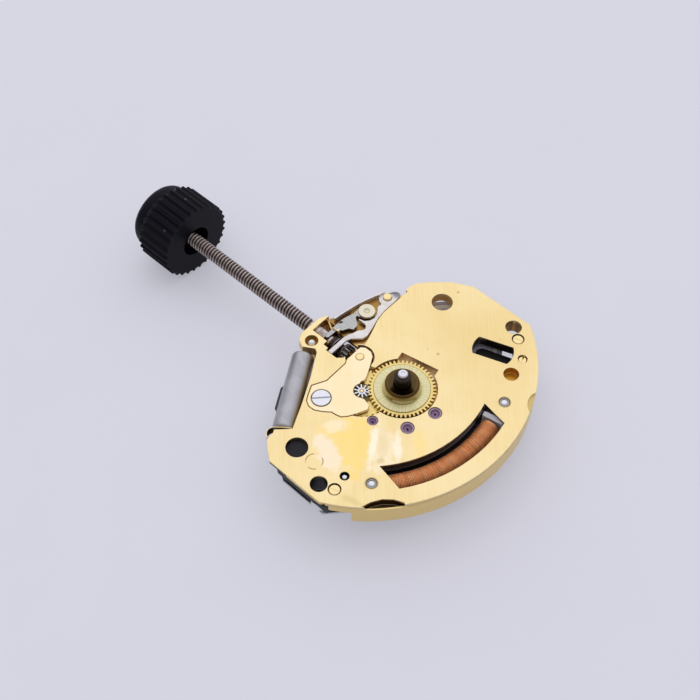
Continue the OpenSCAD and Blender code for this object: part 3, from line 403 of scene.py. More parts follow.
@coated((244, 221, 164), 0.3)
def gilt_plate(coat):
    """Gilt brass with a fine straight grain, stains near 12 o'clock, and darker recesses, holes and gaps:
    painted shade, with some real dullness of the plating in the recesses.
    """
    streak = coat.streaks(GRAIN_TURN, 0.08, 2.4)
    coat.tint((236, 209, 146), coat.step(streak, 0.3, 0.7), 0.55)
    coat.tint((250, 231, 182), coat.patches(3.2, 0.5, 0.16), 0.5)
    coat.tint((230, 201, 132), coat.spot(-1.2, -5.0, 3.4, 2.6, 20, 0.7, 0.8), 0.4)
    plate_stains(coat)
    # Painted shade: dark rings at the coil pins' seats and in the gaps round the dial screws' heads.
    for at in COIL_PINS:
        coat.tint((172, 148, 92), coat.ring(at, 0.275, 0.33), 0.7)
    for at in DIAL_SCREWS:
        coat.tint((120, 92, 44), coat.ring(at, 0.295, 0.325), 0.8)
    plate_painted_light_and_shade(coat)
    coat.wear((255, 240, 200), 0.6)
    coat.tint((140, 112, 70), coat.group(dust_specks, Size=0.6, Amount=0.04), 0.4)
    coat.roughen(streak, 0.1).lift(streak, 0.0012)


def plate_painted_light_and_shade(coat):
    """Painted shade by depth: darker gilt down in the recesses, partly dull plating and partly painted
    shade; painted shade on the walls of the coil's and the cell's windows and in holes, gaps and the notch;
    painted light on one recess floor and a painted reflection on the outer side wall.
    """
    depth = coat.depth()

    def painted_by_depth(colour, mask, start, end, amount):
        """Tints a mask from one depth down to another."""
        coat.tint(colour, coat.times(mask, coat.step(depth, start, end)), amount)

    arc = coat.turning("Radius", ARC_CENTRE)
    inside = coat.step(arc, *WALL_RADII)
    outside = coat.step(arc, *WALL_RADII[::-1])
    # Painted reflection: the outer side wall below the top edge is painted a deeper, more saturated gold.
    painted_by_depth((236, 208, 136), outside, -0.03, -0.12, 0.8)
    # Painted shadow: a thin dark line along the step in the outer wall.
    step_shadow_line = coat.times(outside, coat.step(depth, -0.155, -0.145))
    painted_by_depth((120, 96, 50), step_shadow_line, -0.115, -0.125, 0.7)
    # Darker gilt down in the recesses inside the rim: partly dull plating, partly painted shade.
    painted_by_depth((222, 172, 92), inside, -0.04, -0.3, 0.75)
    # Painted shade on the floor of the keyless recess.
    keyless_painted_shade = coat.times(inside, coat.spot(5.3, -2.3, 2.6, 1.3, 110, 0.1, 0.0))
    painted_by_depth((140, 100, 44), keyless_painted_shade, -0.12, -0.42, 0.75)
    # Painted shade down in the notch at the rim.
    notch_painted_shade = coat.times(coat.step(arc, *NOTCH_RADII), coat.spot(-3.81, 5.53, 1.1, 0.42, 48, 0.1, 0.0))
    painted_by_depth((70, 36, 12), notch_painted_shade, -0.04, -0.2, 0.9)
    # Painted shade: near black on the walls of the coil's window, dark grey on those of the cell's window.
    painted_by_depth((34, 20, 10), coat.ring(ARC_CENTRE, *COIL_WINDOW_RADII), -0.03, -0.1, 0.93)
    painted_by_depth((84, 78, 78), coat.ring(CELL_WINDOW, 0.0, 1.15), -0.1, -0.2, 0.9)
    # Painted shade in the two foot holes, the blind hole and round the minute pinion's hole.
    painted_by_depth((96, 70, 38), coat.ring(FOOT_HOLES[0], 0.0, 0.5), -0.06, -0.3, 0.9)
    painted_by_depth((128, 92, 46), coat.ring(FOOT_HOLES[1], 0.0, 0.5), -0.06, -0.3, 0.7)
    painted_by_depth((208, 154, 52), coat.ring(BLIND_HOLE, 0.0, 0.42), -0.04, -0.12, 0.95)
    painted_by_depth((60, 42, 20), coat.ring(MINUTE, 0.0, 0.66), -0.04, -0.1, 0.85)
    # Painted light: the recess floor south of the hands is painted pale.
    hour_recess_painted_light = coat.times(inside, coat.spot(0.45, -2.0, 1.7, 1.3, 0, 0.1, 0.0))
    painted_by_depth((240, 216, 184), hour_recess_painted_light, -0.04, -0.1, 0.9)
    # Painted shade: a long dark strip down in the keyless works, by the plate's edge.
    painted_by_depth((84, 52, 24), coat.spot(5.55, -1.75, 1.75, 0.3, 112, 0.15, 0.3), -0.1, -0.3, 0.85)


def plate_stains(coat):
    """Dried lubricant round the jewels: a yellow area, milky bands, small tan marks."""
    # Tone, then x, y, length, width, turn, edge and raggedness, then strength
    for colour, spot, amount in (
        ((253, 220, 132), (-0.42, 4.1, 1.6, 0.98, 132, 0.2, 3.0), 0.8),
        ((252, 221, 140), (0.8, 4.35, 0.85, 0.3, 20, 0.3, 2.6), 0.6),
        ((253, 221, 136), (-2.9, 2.0, 0.8, 0.35, 128, 0.4, 2.4), 0.5),
        ((250, 234, 202), (-1.62, 3.35, 1.4, 0.62, 130, 0.25, 2.2), 0.7),
        ((236, 214, 164), (-1.45, 3.1, 0.9, 0.24, 128, 0.6, 3.0), 0.6),
        ((255, 246, 222), (-1.3, 3.72, 1.15, 0.14, 122, 0.6, 3.2), 0.75),
        ((255, 246, 222), (-2.15, 2.8, 0.8, 0.16, 131, 0.6, 3.2), 0.75),
        ((252, 234, 208), (0.12, 5.33, 1.0, 0.5, 157, 0.3, 2.4), 0.8),
        ((252, 236, 202), (0.95, 3.9, 0.6, 0.32, 45, 0.5, 2.6), 0.7),
    ):
        coat.tint(colour, coat.spot(*spot), amount)
    washer_mark = coat.times(coat.patches(0.32, 0.52, 0.05), coat.ring((0.33, 6.1), 0.4, 0.45))
    coat.tint((176, 138, 84), washer_mark, 0.85)
    coat.tint((214, 196, 140), coat.spot(-2.44, 6.46, 0.5, 0.14, 195, 0.6, 2.0), 0.5)
    coat.tint((216, 198, 144), coat.spot(-2.0, 3.95, 0.2, 0.14, 60, 0.6, 2.0), 0.6)


@coated((250, 230, 186), 0.28)
def pale_bridge(coat):
    coat.grain(coat.streaks(GRAIN_TURN, 0.06, 1.6), (242, 218, 166), 0.4, 0.08, 0.0006)
    coat.tint((253, 238, 204), coat.patches(1.6, 0.5, 0.15), 0.4)
    # Painted shade in the gaps round the bridge screw's head and the setting wheel's post.
    coat.tint((120, 92, 52), coat.ring(BRIDGE_SCREW, 0.49, 0.535), 0.8)
    coat.tint((140, 112, 66), coat.ring(SETTING, 0.205, 0.235), 0.8)
    coat.wear((255, 246, 216), 0.6)


@coated((240, 216, 142), 0.3)
def wheel_brass(coat):
    coat.grain(coat.streaks(20, 0.04, 0.3), (212, 182, 104), 0.5, 0.12, 0.0006)
    coat.wear((255, 238, 178), 0.8)
    coat.tint((176, 132, 62), coat.patches(0.5, 0.38, 0.05), 0.3)
    # Painted shade on the wheels down round the minute pinion, below the bridge.
    near_minute_painted_shade = coat.times(coat.ring(MINUTE, 0.0, 0.6), coat.step(coat.depth(), -0.2, -0.24))
    coat.tint((72, 48, 22), near_minute_painted_shade, 0.8)


@coated((118, 74, 30), 0.34)
def shaded_brass(coat):
    """The wheels under the bridge: brass painted dark, as painted shade."""
    coat.grain(coat.streaks(20, 0.04, 0.3), (74, 44, 18), 0.6, 0.12, 0.0006)
    coat.wear((206, 160, 90), 0.5)
    coat.tint((60, 36, 16), coat.patches(0.4, 0.5, 0.1), 0.5)


@coated((228, 220, 172), 0.34)
def washer_brass(coat):
    """Pale green-gold with fine radial lines."""
    ray = coat.turning("Rays", Rays=30.0)
    radius = coat.turning("Radius")
    coat.tint((172, 162, 112), coat.step(ray, 0.46, 0.62), 0.55)
    # Painted shadow: a thin dark line at the washer's outer edge; painted shade near the pipe's foot.
    coat.tint((150, 138, 84), coat.step(radius, 1.42, 1.44), 0.8)
    coat.tint((120, 104, 62), coat.step(radius, 1.0, 0.9), 0.7)
    coat.lift(ray, 0.003).roughen(ray, 0.12)


@coated((232, 226, 184), 0.14)
def collar_side_painted_reflection(coat):
    """Polished hour pipe with a painted reflection by height: pale green-gold at its foot, amber above,
    brown at its end, and painted shade right at its foot.
    """
    coat.grain(coat.streaks(0, 0.05, 4.0), (186, 172, 116), 0.4, height=0.0004)
    height = coat.depth()
    # Painted reflection: amber, then brown, higher up the pipe.
    coat.tint((150, 98, 34), coat.step(height, 0.22, 0.32), 0.85)
    coat.tint((74, 58, 34), coat.step(height, 0.36, 0.44), 0.9)
    # Painted shade at the pipe's foot.
    coat.tint((70, 66, 40), coat.step(height, 0.025, 0.0), 0.8)


@coated((84, 72, 46), 0.16)
def collar_face_painted_reflection(coat):
    """Polished end face of the hour pipe, painted dark bronze with a painted amber reflection towards its
    rim, so darker towards the bore.
    """
    radius = coat.turning("Radius")
    coat.tint((112, 84, 42), coat.step(radius, 0.62, 0.8), 0.8)
    coat.grain(coat.turning("Rings", Ring=0.05), (46, 38, 28), 0.35, height=0.0006)


@coated((70, 62, 58), 0.22)
def black_steel(coat):
    coat.grain(coat.streaks(0, 0.03, 1.2), (36, 31, 30), 0.7, 0.12, 0.0005)
    coat.wear((232, 226, 226), 0.9)


@coated((232, 232, 238), 0.16)
def bright_steel(coat):
    coat.grain(coat.streaks(70, 0.03, 0.5), (196, 196, 204), 0.5, 0.12, 0.0004)
    coat.wear((250, 250, 255), 0.8)
    coat.tint((150, 140, 130), coat.patches(0.4, 0.36, 0.04), 0.3)
    # Painted shade: a darker ring in the groove round each coil pin's head.
    for at in COIL_PINS:
        coat.tint((150, 146, 128), coat.ring(at, 0.18, 0.26), 0.8)


@coated((244, 238, 232), 0.32, metal=0.7)
def lever_silver(coat):
    """Stamped silvery steel with a crosswise grain."""
    coat.grain(coat.streaks(70, 0.05, 0.7), (204, 196, 198), 0.5, 0.12, 0.001)
    coat.tint((190, 181, 180), coat.patches(0.7, 0.45, 0.15), 0.4)
    # Painted shade: a darker spot on the yoke's tail by its pin.
    coat.tint((112, 116, 124), coat.spot(4.18, -4.64, 0.5, 0.42, 42.5, 0.4, 0.8), 0.85)
    coat.wear((250, 250, 252), 0.9)


@coated((196, 197, 194), 0.3)
def turned_grey(coat):
    """Darker grey steel with circular brushing about the setting lever's axle."""
    rings = coat.turning("Rings", AXLE, Ring=0.045)
    coat.tint((140, 141, 140), coat.step(rings, 0.35, 0.65), 0.6)
    # Painted shade: a dark hole near the setting lever's corner.
    coat.tint((22, 18, 18), coat.spot(5.27, -0.94, 0.24, 0.09, 42.5, 0.2, 0.5), 0.95)
    coat.wear((250, 250, 250), 1.0)
    coat.roughen(rings, 0.15).lift(rings, 0.002)


@coated((228, 220, 196), 0.28)
def cream_metal(coat):
    """Pale greenish plating on the lever's axle."""
    coat.grain(coat.turning("Rings", AXLE, Ring=0.04), (204, 196, 168), 0.5, height=0.001)
    coat.wear((250, 248, 226), 0.6)


@coated((250, 228, 172), 0.26)
def pale_gilt(coat):
    coat.grain(coat.streaks(10, 0.04, 0.4), (232, 200, 136), 0.5, height=0.0008)
    coat.wear((255, 244, 206), 0.7)


@coated((196, 184, 178), 0.26)
def stem_steel(coat):
    """Threaded steel, bright on the crests, with painted shade dark brown in the roots."""
    out = distance(coat.tree, coat.axis(1), sums(coat.tree, "SUBTRACT", coat.axis(2), STEM_Z))
    # Painted shade in the thread's roots.
    coat.tint((52, 38, 32), coat.step(out, 0.395, 0.35), 0.92)
    coat.grain(coat.patches(0.25, 0.42, 0.05), (112, 92, 80), 0.4, 0.2)


@coated((9, 8, 20), 0.36, metal=0.0, Specular_IOR_Level=0.1)
def knob_black(coat):
    coat.grain(coat.patches(0.12, 0.5, 0.2), (18, 18, 28), 0.6, 0.12, 0.003)
    coat.wear((50, 50, 60), 0.5)
    coat.tint((120, 118, 118), coat.group(dust_specks, Size=0.5, Amount=0.1), 0.5)


@coated((20, 19, 24), 0.42, metal=0.0, Specular_IOR_Level=0.3)
def black_plastic(coat):
    coat.grain(coat.patches(0.15, 0.5, 0.2), (32, 31, 38), 0.5, 0.15, 0.003)
    coat.wear((80, 80, 88), 0.5)


@coated((176, 142, 162), 0.1, metal=0.0, Coat_Weight=0.5,
    Coat_Roughness=0.05, IOR=1.6)
def violet_jewel(coat):
    """Red-violet stone, browner at its rim."""
    for at, r in PLATE_JEWELS:
        coat.tint((104, 82, 84), coat.ring(at, r - 0.035, r), 0.9)
        # Painted shade: a dark ring at each oil cup's edge.
        coat.tint((84, 54, 84), coat.ring(at, 0.55 * r, 0.7 * r), 0.8)
        coat.tint((128, 88, 134), coat.ring(at, 0.0, 0.55 * r), 0.8)
    coat.grain(coat.patches(0.25, 0.5, 0.15), (104, 70, 104), 0.5, 0.06)
    coat.wear((190, 156, 180), 0.6)


@coated((168, 168, 172), 0.34)
def soft_iron(coat):
    coat.grain(coat.streaks(12, 0.05, 0.9), (120, 118, 120), 0.5, 0.14, 0.001)
    coat.wear((220, 220, 224), 0.7)


@coated((206, 204, 208), 0.4, metal=0.0)
def flange_grey(coat):
    """Light grey moulded ends of the coil, with fine ribs along them."""
    ribs = coat.turning("Rays", ARC_CENTRE, Rays=90.0)
    coat.tint((156, 152, 158), coat.step(ribs, 0.42, 0.6), 0.6)
    coat.wear((232, 230, 234), 0.7)
    coat.lift(ribs, 0.008)


@coated((255, 178, 112), 0.42, metal=0.3)
def copper_wire(coat):
    """Enamelled copper, salmon pink, with odd darker turns."""
    coat.grain(coat.patches(0.6, 0.5, 0.2), (246, 158, 94), 0.5, 0.08)
    turn_lines = coat.turning("Rays", ARC_CENTRE, Rays=170.0)
    coat.tint((180, 92, 48), coat.step(turn_lines, 0.5, 0.64), 0.55)
    coat.tint((255, 208, 172), coat.patches(0.12, 0.4, 0.06), 0.5)
    # Painted shade on the coil's underside.
    coat.tint((120, 40, 18), coat.step(coat.depth(), -0.85, -1.15), 0.8)


# Iron painted near black: painted shade for the stator seen in the coil window's gap; the battery contact
# uses it too.
@coated((58, 54, 54), 0.5)
def iron_painted_dark(coat):
    coat.grain(coat.streaks(12, 0.05, 0.9), (34, 31, 32), 0.6, height=0.001)
    coat.wear((96, 92, 92), 0.6)


# The wire's layers under the turns, painted darker copper as painted shade between the turns.
@coated((176, 96, 62), 0.5)
def copper_under_painted_shade(coat):
    coat.grain(coat.patches(0.2, 0.5, 0.1), (120, 58, 36), 0.6, height=0.004)


@coated((30, 36, 32), 0.4, metal=0.0, Coat_Weight=0.2)
def board_laminate(coat):
    coat.grain(coat.patches(0.2, 0.5, 0.15), (44, 54, 46), 0.6, height=0.002)
    coat.wear((110, 112, 84), 0.5)


@coated((206, 206, 210), 0.3)
def cover_steel(coat):
    coat.grain(coat.streaks(80, 0.06, 1.4), (168, 168, 172), 0.5, 0.12, 0.001)
    coat.wear((244, 244, 248), 0.8)


@coated((178, 177, 181), 0.36)
def can_metal(coat):
    """Satin grey drawn metal, with a grain along the can."""
    coat.grain(coat.streaks(-CAN_TURN, 0.05, 1.5), (140, 139, 143), 0.5, 0.12, 0.0015)
    coat.tint((206, 205, 208), coat.patches(0.9, 0.5, 0.2), 0.4)
    coat.tint((120, 110, 104), coat.group(dust_specks, Size=0.4, Amount=0.1), 0.5)


@coated((202, 201, 216), 0.6, metal=0.1)
def cell_steel(coat):
    """Dull blue-grey steel of the button cell."""
    coat.grain(coat.turning("Rings", CELL, Ring=0.05), (142, 140, 152), 0.5, 0.12, 0.0008)
    coat.wear((210, 212, 220), 0.7)
    coat.tint((128, 126, 138), coat.patches(0.8, 0.45, 0.15), 0.4)


@coated((234, 232, 222), 0.45, metal=0.0)
def seal_white(coat):
    coat.grain(coat.patches(0.4, 0.5, 0.15), (206, 202, 188), 0.5, height=0.002)


@coated((181, 181, 189), 0.7, metal=0.0, Specular_IOR_Level=0.2)
def table_top(coat):
    """Pale table. Part of its paleness is seen directly, so that the shadow on it stays faint."""
    coat.tint((178, 177, 186), coat.patches(9.0, 0.5, 0.25), 0.6)
    path = shade(coat.tree, "LightPath").outputs
    seen = sums(coat.tree, "ADD", path["Is Camera Ray"], sums(coat.tree, "ADD", path["Is Glossy Ray"],
        path["Is Transmission Ray"]))
    feed(coat.tree, coat.shader, {"Emission Color": tone(213, 213, 223),
        "Emission Strength": coat.times(seen, 0.48)})


# Mesh helpers: every shape is made in millimetres in a bmesh

# Distances under which points are merged, in millimetres, and angles in degrees
MERGE = 1e-4
CAD_MERGE = 4e-4
CAD_FLAT = 0.8
CAD_CORNER = 32.0
CAD_CREASE = 50.0
CRAMPED = 2.2


def scaled(bm, factor):
    bmesh.ops.scale(bm, vec=(factor, factor, factor), verts=bm.verts)


def face_out(bm):
    bmesh.ops.recalc_face_normals(bm, faces=bm.faces)


def spun(bm, geom, steps, angle=tau, rise=0.0, **how):
    bmesh.ops.spin(bm, geom=geom, cent=(0, 0, 0), axis=(0, 0, 1), dvec=(0, 0, rise), angle=angle,
        steps=steps, **how)


def upright(at, z, turn):
    """Places a shape's own upright axis over a point of the dial and turns it."""
    return Matrix.Translation((at[0], at[1], z)) @ Matrix.Rotation(radians(turn), 4, "Z")


def turned(profile, at=(0.0, 0.0), steps=64):
    """Solid of revolution about an upright axis, from points (radius, height) that run round it."""
    bm = bmesh.new()
    verts = [bm.verts.new((r, 0, z)) for r, z in profile]
    edges = [bm.edges.new(pair) for pair in zip(verts, verts[1:])]
    if profile[0][0] > 0:
        edges.append(bm.edges.new((verts[-1], verts[0])))
    spun(bm, verts + edges, steps, use_merge=True)
    bmesh.ops.remove_doubles(bm, verts=bm.verts, dist=1e-5)
    face_out(bm)
    bmesh.ops.translate(bm, vec=(at[0], at[1], 0), verts=bm.verts)
    return bm


def rounded(radius, z0, z1, edge):
    """Profile of a plain flat head with a rounded edge."""
    points = [(0, z1), (0.5 * (radius - edge), z1), (radius - edge, z1)]
    for k in range(1, 5):
        a = k * pi / 8
        points.append((radius - edge + edge * sin(a), z1 - edge + edge * cos(a)))
    return points + [(radius, z0), (0, z0)]


def rod(radius, z1, z0):
    return [(0, z1), (radius, z1), (radius, z0), (0, z0)]


def blend_in(bm, other):
    """Adds another bmesh's shape to this one."""
    carried = bpy.data.meshes.new("carried")
    other.to_mesh(carried)
    other.free()
    bm.from_mesh(carried)
    bpy.data.meshes.remove(carried)
    return bm


def laid(bm, matrix):
    bmesh.ops.transform(bm, matrix=matrix, verts=bm.verts)
    return bm


def at_each(places, profile, steps):
    bm = bmesh.new()
    for at in places:
        blend_in(bm, turned(profile, at, steps))
    return bm


def along_x(bm, x=0.0):
    """Turns a shape made about +Z so that it runs along the stem."""
    return laid(bm, Matrix.Translation((x, 0, STEM_Z)) @ Matrix.Rotation(pi / 2, 4, "Y"))


def slotted(at, radius, z0, z1, slot, floor, turn, facing=1):
    """Cheese head with a cut slot; facing -1 turns it to the back. z1 is the outer face."""
    painted_by_depth, high = (z0, z1) if facing > 0 else (-z0, -z1)
    bm = turned(rounded(radius, painted_by_depth, floor if facing > 0 else -floor, 0.001), steps=48)
    for side in (1, -1):
        half = turned(rounded(radius, painted_by_depth, high, 0.03), steps=48)
        geom = half.verts[:] + half.edges[:] + half.faces[:]
        cut = bmesh.ops.bisect_plane(half, geom=geom, plane_co=(0, side * slot / 2, 0),
            plane_no=(0, -side, 0), clear_outer=True)
        rim = [g for g in cut["geom_cut"] if isinstance(g, bmesh.types.BMEdge)]
        bmesh.ops.holes_fill(half, edges=rim)
        face_out(half)
        blend_in(bm, half)
    tilt = Matrix.Rotation(pi, 4, "X") if facing < 0 else Matrix.Identity(4)
    return laid(bm, upright(at, 0, turn) @ tilt)


def raised_ring(outline, count, height):
    """One flat sector, from points (radius, share of the pitch), spun to a full ring and raised."""
    pitch = tau / count
    bm = bmesh.new()
    verts = [bm.verts.new((r * cos(k * pitch), r * sin(k * pitch), 0)) for r, k in outline]
    face = bm.faces.new(verts)
    spun(bm, [face] + verts + face.edges[:], count, use_duplicate=True)
    bmesh.ops.remove_doubles(bm, verts=bm.verts, dist=MERGE)
    doubled = [f for f in bm.faces if f.normal.z < 0]
    bmesh.ops.delete(bm, geom=doubled, context="FACES_ONLY")
    raised = bmesh.ops.extrude_face_region(bm, geom=bm.faces[:], use_keep_orig=True)
    top = [g for g in raised["geom"] if isinstance(g, bmesh.types.BMVert)]
    bmesh.ops.translate(bm, vec=(0, 0, height), verts=top)
    face_out(bm)
    return bm


def toothed(at, teeth, module, bore, z0, z1, phase, deep=1.0, slim=1.0):
    """Flat gear with rounded teeth round a bore."""
    root = module * (teeth / 2 - deep)
    tip = module * (teeth / 2 + 0.8)
    flank = [(root, 0.32), (root + 0.2 * module, 0.27), (tip - 0.5 * module, 0.2),
        (tip - 0.12 * module, 0.13), (tip, 0.06)]
    flank = [(r, slim * k) for r, k in flank]
    outline = [(bore, 0.5), (bore, 0), (bore, -0.5), (root, -0.5)] + [(r, -k) for r, k in flank]
    outline += flank[::-1] + [(root, 0.5)]
    return laid(raised_ring(outline, teeth, z1 - z0), upright(at, z0, phase))


def finished(bm, name, body, material, replaced):
    """Makes a bmesh a piece, in metres, that rides on its body and replaces CAD nodes."""
    for face in bm.faces:
        face.smooth = True
    scaled(bm, MM)
    mesh = bpy.data.meshes.new(name)
    bm.to_mesh(mesh)
    bm.free()
    mesh.materials.append(material)
    piece = linked(name, mesh)
    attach(piece, body)
    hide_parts(*replaced)
    return piece


def put_down(bm, name, material, replaced, sharp=28.0, body="frame_body"):
    """Turns a shape into a piece, smooth except at edges over an angle."""
    for edge in bm.edges:
        if len(edge.link_faces) == 2 and edge.calc_face_angle(0) > radians(sharp):
            edge.smooth = False
    finished(bm, name, body, material, replaced)


def cramped(side, reach):
    """Whether a short edge turns away at this one's end, so that rounding would fold a face over."""
    along = (side.verts[1].co - side.verts[0].co).normalized()
    for vert in side.verts:
        for other in vert.link_edges:
            if other == side or other.calc_length() > reach:
                continue
            across = (other.verts[1].co - other.verts[0].co).normalized()
            if abs(along.dot(across)) < 0.5:
                return True
    return False


def rounded_over(bm, edges, offset):
    """Rounds edges over, marks the new faces for wear and returns them."""
    mark = bm.faces.layers.float.new("edge")
    made = bmesh.ops.bevel(bm, geom=edges, offset=offset, offset_type="OFFSET", segments=2,
        profile=0.5, affect="EDGES", clamp_overlap=False, material=-1)
    for face in made["faces"]:
        face[mark] = 1.0
    return set(made["faces"])


def dressed(node, material, edge=0.014):
    """A CAD node's shape, merged and with its edges rounded over and marked for wear."""
    bm = bmesh.new()
    bm.from_mesh(nodes[node].data)
    scaled(bm, 1 / MM)
    bmesh.ops.remove_doubles(bm, verts=bm.verts, dist=CAD_MERGE)
    bmesh.ops.dissolve_limit(bm, angle_limit=radians(CAD_FLAT), verts=bm.verts, edges=bm.edges)
    sharp = [e for e in bm.edges if len(e.link_faces) == 2 and e.calc_face_angle(0) > radians(CAD_CORNER)
        and not cramped(e, CRAMPED * edge)]
    rounds = rounded_over(bm, sharp if edge > 0 else [], edge)
    for side in bm.edges:
        if len(side.link_faces) == 2:
            a, b = side.link_faces
            side.smooth = (a in rounds) == (b in rounds) and side.calc_face_angle(0) < radians(CAD_CREASE)
    return finished(bm, node + "_finished", nodes[node]["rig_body"], material, [node])


# Pieces

# The yoke's arm: the side of this x between these heights on the dial, and its easing
ARM_X = 3.9
ARM_Y = (-2.7, -1.7)
ARM_EASE = 0.012


def plate_and_bridge(gilt, pale):
    dressed("main_plate", gilt)
    dressed("motion_work_bridge", pale, 0.018)


def hour_work(brass, washer, side, face):
    """Hour wheel with its polished pipe, and the dial washer round the pipe's foot."""
    gear = toothed(HANDS, teeth=48, module=MOTION_MODULE, bore=0.44, z0=-0.19, z1=-0.05, phase=47, deep=1.55)
    shoulder = turned([(0.98, -0.16), (1.068, -0.16), (1.068, -0.013), (1.065, -0.01), (0.98, -0.01)],
        steps=96)
    wall = turned([(0.79, -0.16), (1.0, -0.16), (1.02, -0.01), (1.015, 0.02), (0.975, 0.09), (0.935, 0.17),
        (0.905, 0.26), (0.89, 0.34), (0.885, 0.42), (0.87, 0.465), (0.84, 0.49), (0.8, 0.5), (0.79, 0.48)],
        steps=128)
    end = turned([(0.44, -0.18), (0.44, 0.43), (0.46, 0.45), (0.5, 0.455), (0.74, 0.48), (0.79, 0.5),
        (0.8, 0.5), (0.8, -0.1), (0.7, -0.18)], steps=96)
    for bm, name, material, sharp in ((gear, "hour_wheel_teeth", brass, 28),
            (shoulder, "hour_pipe_shoulder", washer, 20), (wall, "hour_pipe", side, 35),
            (end, "hour_pipe_end", face, 20)):
        put_down(bm, name, material, ["hour_wheel"], sharp, "hour_wheel_body")
    ring = turned([(1.07, -0.05), (1.07, -0.014), (1.076, -0.01), (1.45, -0.01), (1.46, -0.016),
        (1.46, -0.05)], steps=96)
    put_down(ring, "dial_washer_ring", washer, ["dial_washer"], 20, "hour_wheel_body")


def hands_arbor(black, steel):
    """Cannon pinion: dark tube with stepped rings, bright seat for the minute hand."""
    leaves = toothed(HANDS, teeth=12, module=0.097143, bore=0.1, z0=-0.4, z1=-0.25, phase=47)
    tube = turned([(0.12, -0.26), (0.42, -0.26), (0.42, 0.98), (0.4, 0.99), (0.4, 1.02), (0.42, 1.03),
        (0.42, 1.09), (0.4, 1.11), (0.34, 1.11), (0.33, 1.1), (0.3, 1.1), (0.24, 1.12), (0.12, 1.12)],
        steps=80)
    put_down(blend_in(leaves, tube), "cannon_pinion_tube", black,
        ["cannon_pinion"], 20, "hands_arbor")
    seat = turned([(0.1, 1.05), (0.26, 1.05), (0.26, 1.24), (0.25, 1.275), (0.22, 1.305), (0.17, 1.325),
        (0.12, 1.33), (0.1, 1.325)], steps=64)
    put_down(seat, "minute_hand_seat", steel, ["cannon_pinion"], 30, "hands_arbor")
    arbor = turned([(0, 1.325), (0.06, 1.318), (0.098, 1.3), (0.1, 1.28), (0.1, -0.4), (0.28, -0.4),
        (0.28, -0.83), (0.27, -0.84), (0.12, -0.84), (0.12, -1.49), (0.07, -1.5), (0.07, -1.78),
        (0.05, -1.8), (0, -1.8)], steps=48)
    put_down(arbor, "centre_arbor_shaft", steel, ["centre_arbor"], 30, "hands_arbor")


def minute_work(steel, dot):
    """Minute pinion in the bridge's cut, with its post, and the setting wheel's post."""
    pinion = toothed(MINUTE, teeth=10, module=MOTION_MODULE, bore=0.12, z0=-0.25, z1=-0.03, phase=209,
        deep=2.1, slim=0.75)
    hub = turned([(0.12, -0.4), (0.17, -0.4), (0.17, -0.035), (0.165, -0.02), (0.12, -0.02)], MINUTE, 40)
    put_down(blend_in(pinion, hub), "minute_pinion_leaves", steel,
        ["minute_pinion"], body="minute_wheel_body")
    post = turned([(0, 0.0), (0.05, -0.004), (0.09, -0.02), (0.1, -0.05), (0.1, -0.6), (0, -0.6)],
        MINUTE, 32)
    blend_in(post, turned([(0.1, -0.58), (0.1, -0.19), (0.2, -0.19), (0.2, 0.005), (0.19, 0.018),
        (0.175, 0.02), (0, 0.02), (0, -0.6), (0.09, -0.6)], SETTING, 40))
    put_down(post, "motion_post_ends", dot, ["motion_posts"])


def jewels(violet):
    """Jewels with a flat rim, an oil cup and a small hole, in the plate and in the train bridge."""
    plate = bmesh.new()
    for at, r in PLATE_JEWELS:
        cup = 0.62 * r
        profile = [(0.05, -0.6), (r, -0.6), (r, -0.065), (r - 0.01, -0.045), (r - 0.025, -0.04),
            (cup + 0.02, -0.04), (cup, -0.046), (cup * 0.92, -0.075), (cup * 0.75, -0.11),
            (cup * 0.5, -0.13), (0.08, -0.14), (0.05, -0.17)]
        blend_in(plate, turned(profile, at, 56))
    put_down(plate, "plate_jewel_cups", violet, ["plate_jewels"], 22)
    profile = [(0.09, -1.61), (0.35, -1.61), (0.35, -1.82), (0.335, -1.84), (0.23, -1.84), (0.21, -1.83),
        (0.14, -1.78), (0.09, -1.77)]
    back = at_each((ROTOR, SECOND, THIRD, HANDS), profile, 56)
    put_down(back, "train_bridge_jewel_cups", violet, ["bridge_jewels"], 22)


def steel_pins(steel):
    """The coil's two pins, the small pin and the ball-ended one."""
    profile = [(0, 0.01), (0.07, 0.006), (0.12, -0.006), (0.16, -0.03), (0.17, -0.07), (0.185, -0.075),
        (0.2, -0.035), (0.245, -0.035), (0.25, -0.045), (0.25, -0.88), (0.15, -0.88), (0.15, -1.15),
        (0, -1.15)]
    pins = at_each(COIL_PINS, profile, 48)
    blend_in(pins, turned([(0, -0.05), (0.06, -0.055), (0.11, -0.08), (0.145, -0.13), (0.15, -0.18),
        (0.15, -1.05), (0, -1.05)], SMALL_PIN, 40))
    ball = [(0.25 * sin(radians(a)), -0.3 + 0.25 * cos(radians(a))) for a in range(0, 100, 9)]
    blend_in(pins, turned(ball + [(0.25, -0.5), (0, -0.5)], BALL_PIN, 48))
    put_down(pins, "coil_pin_ends", steel, ["coil_pins"])


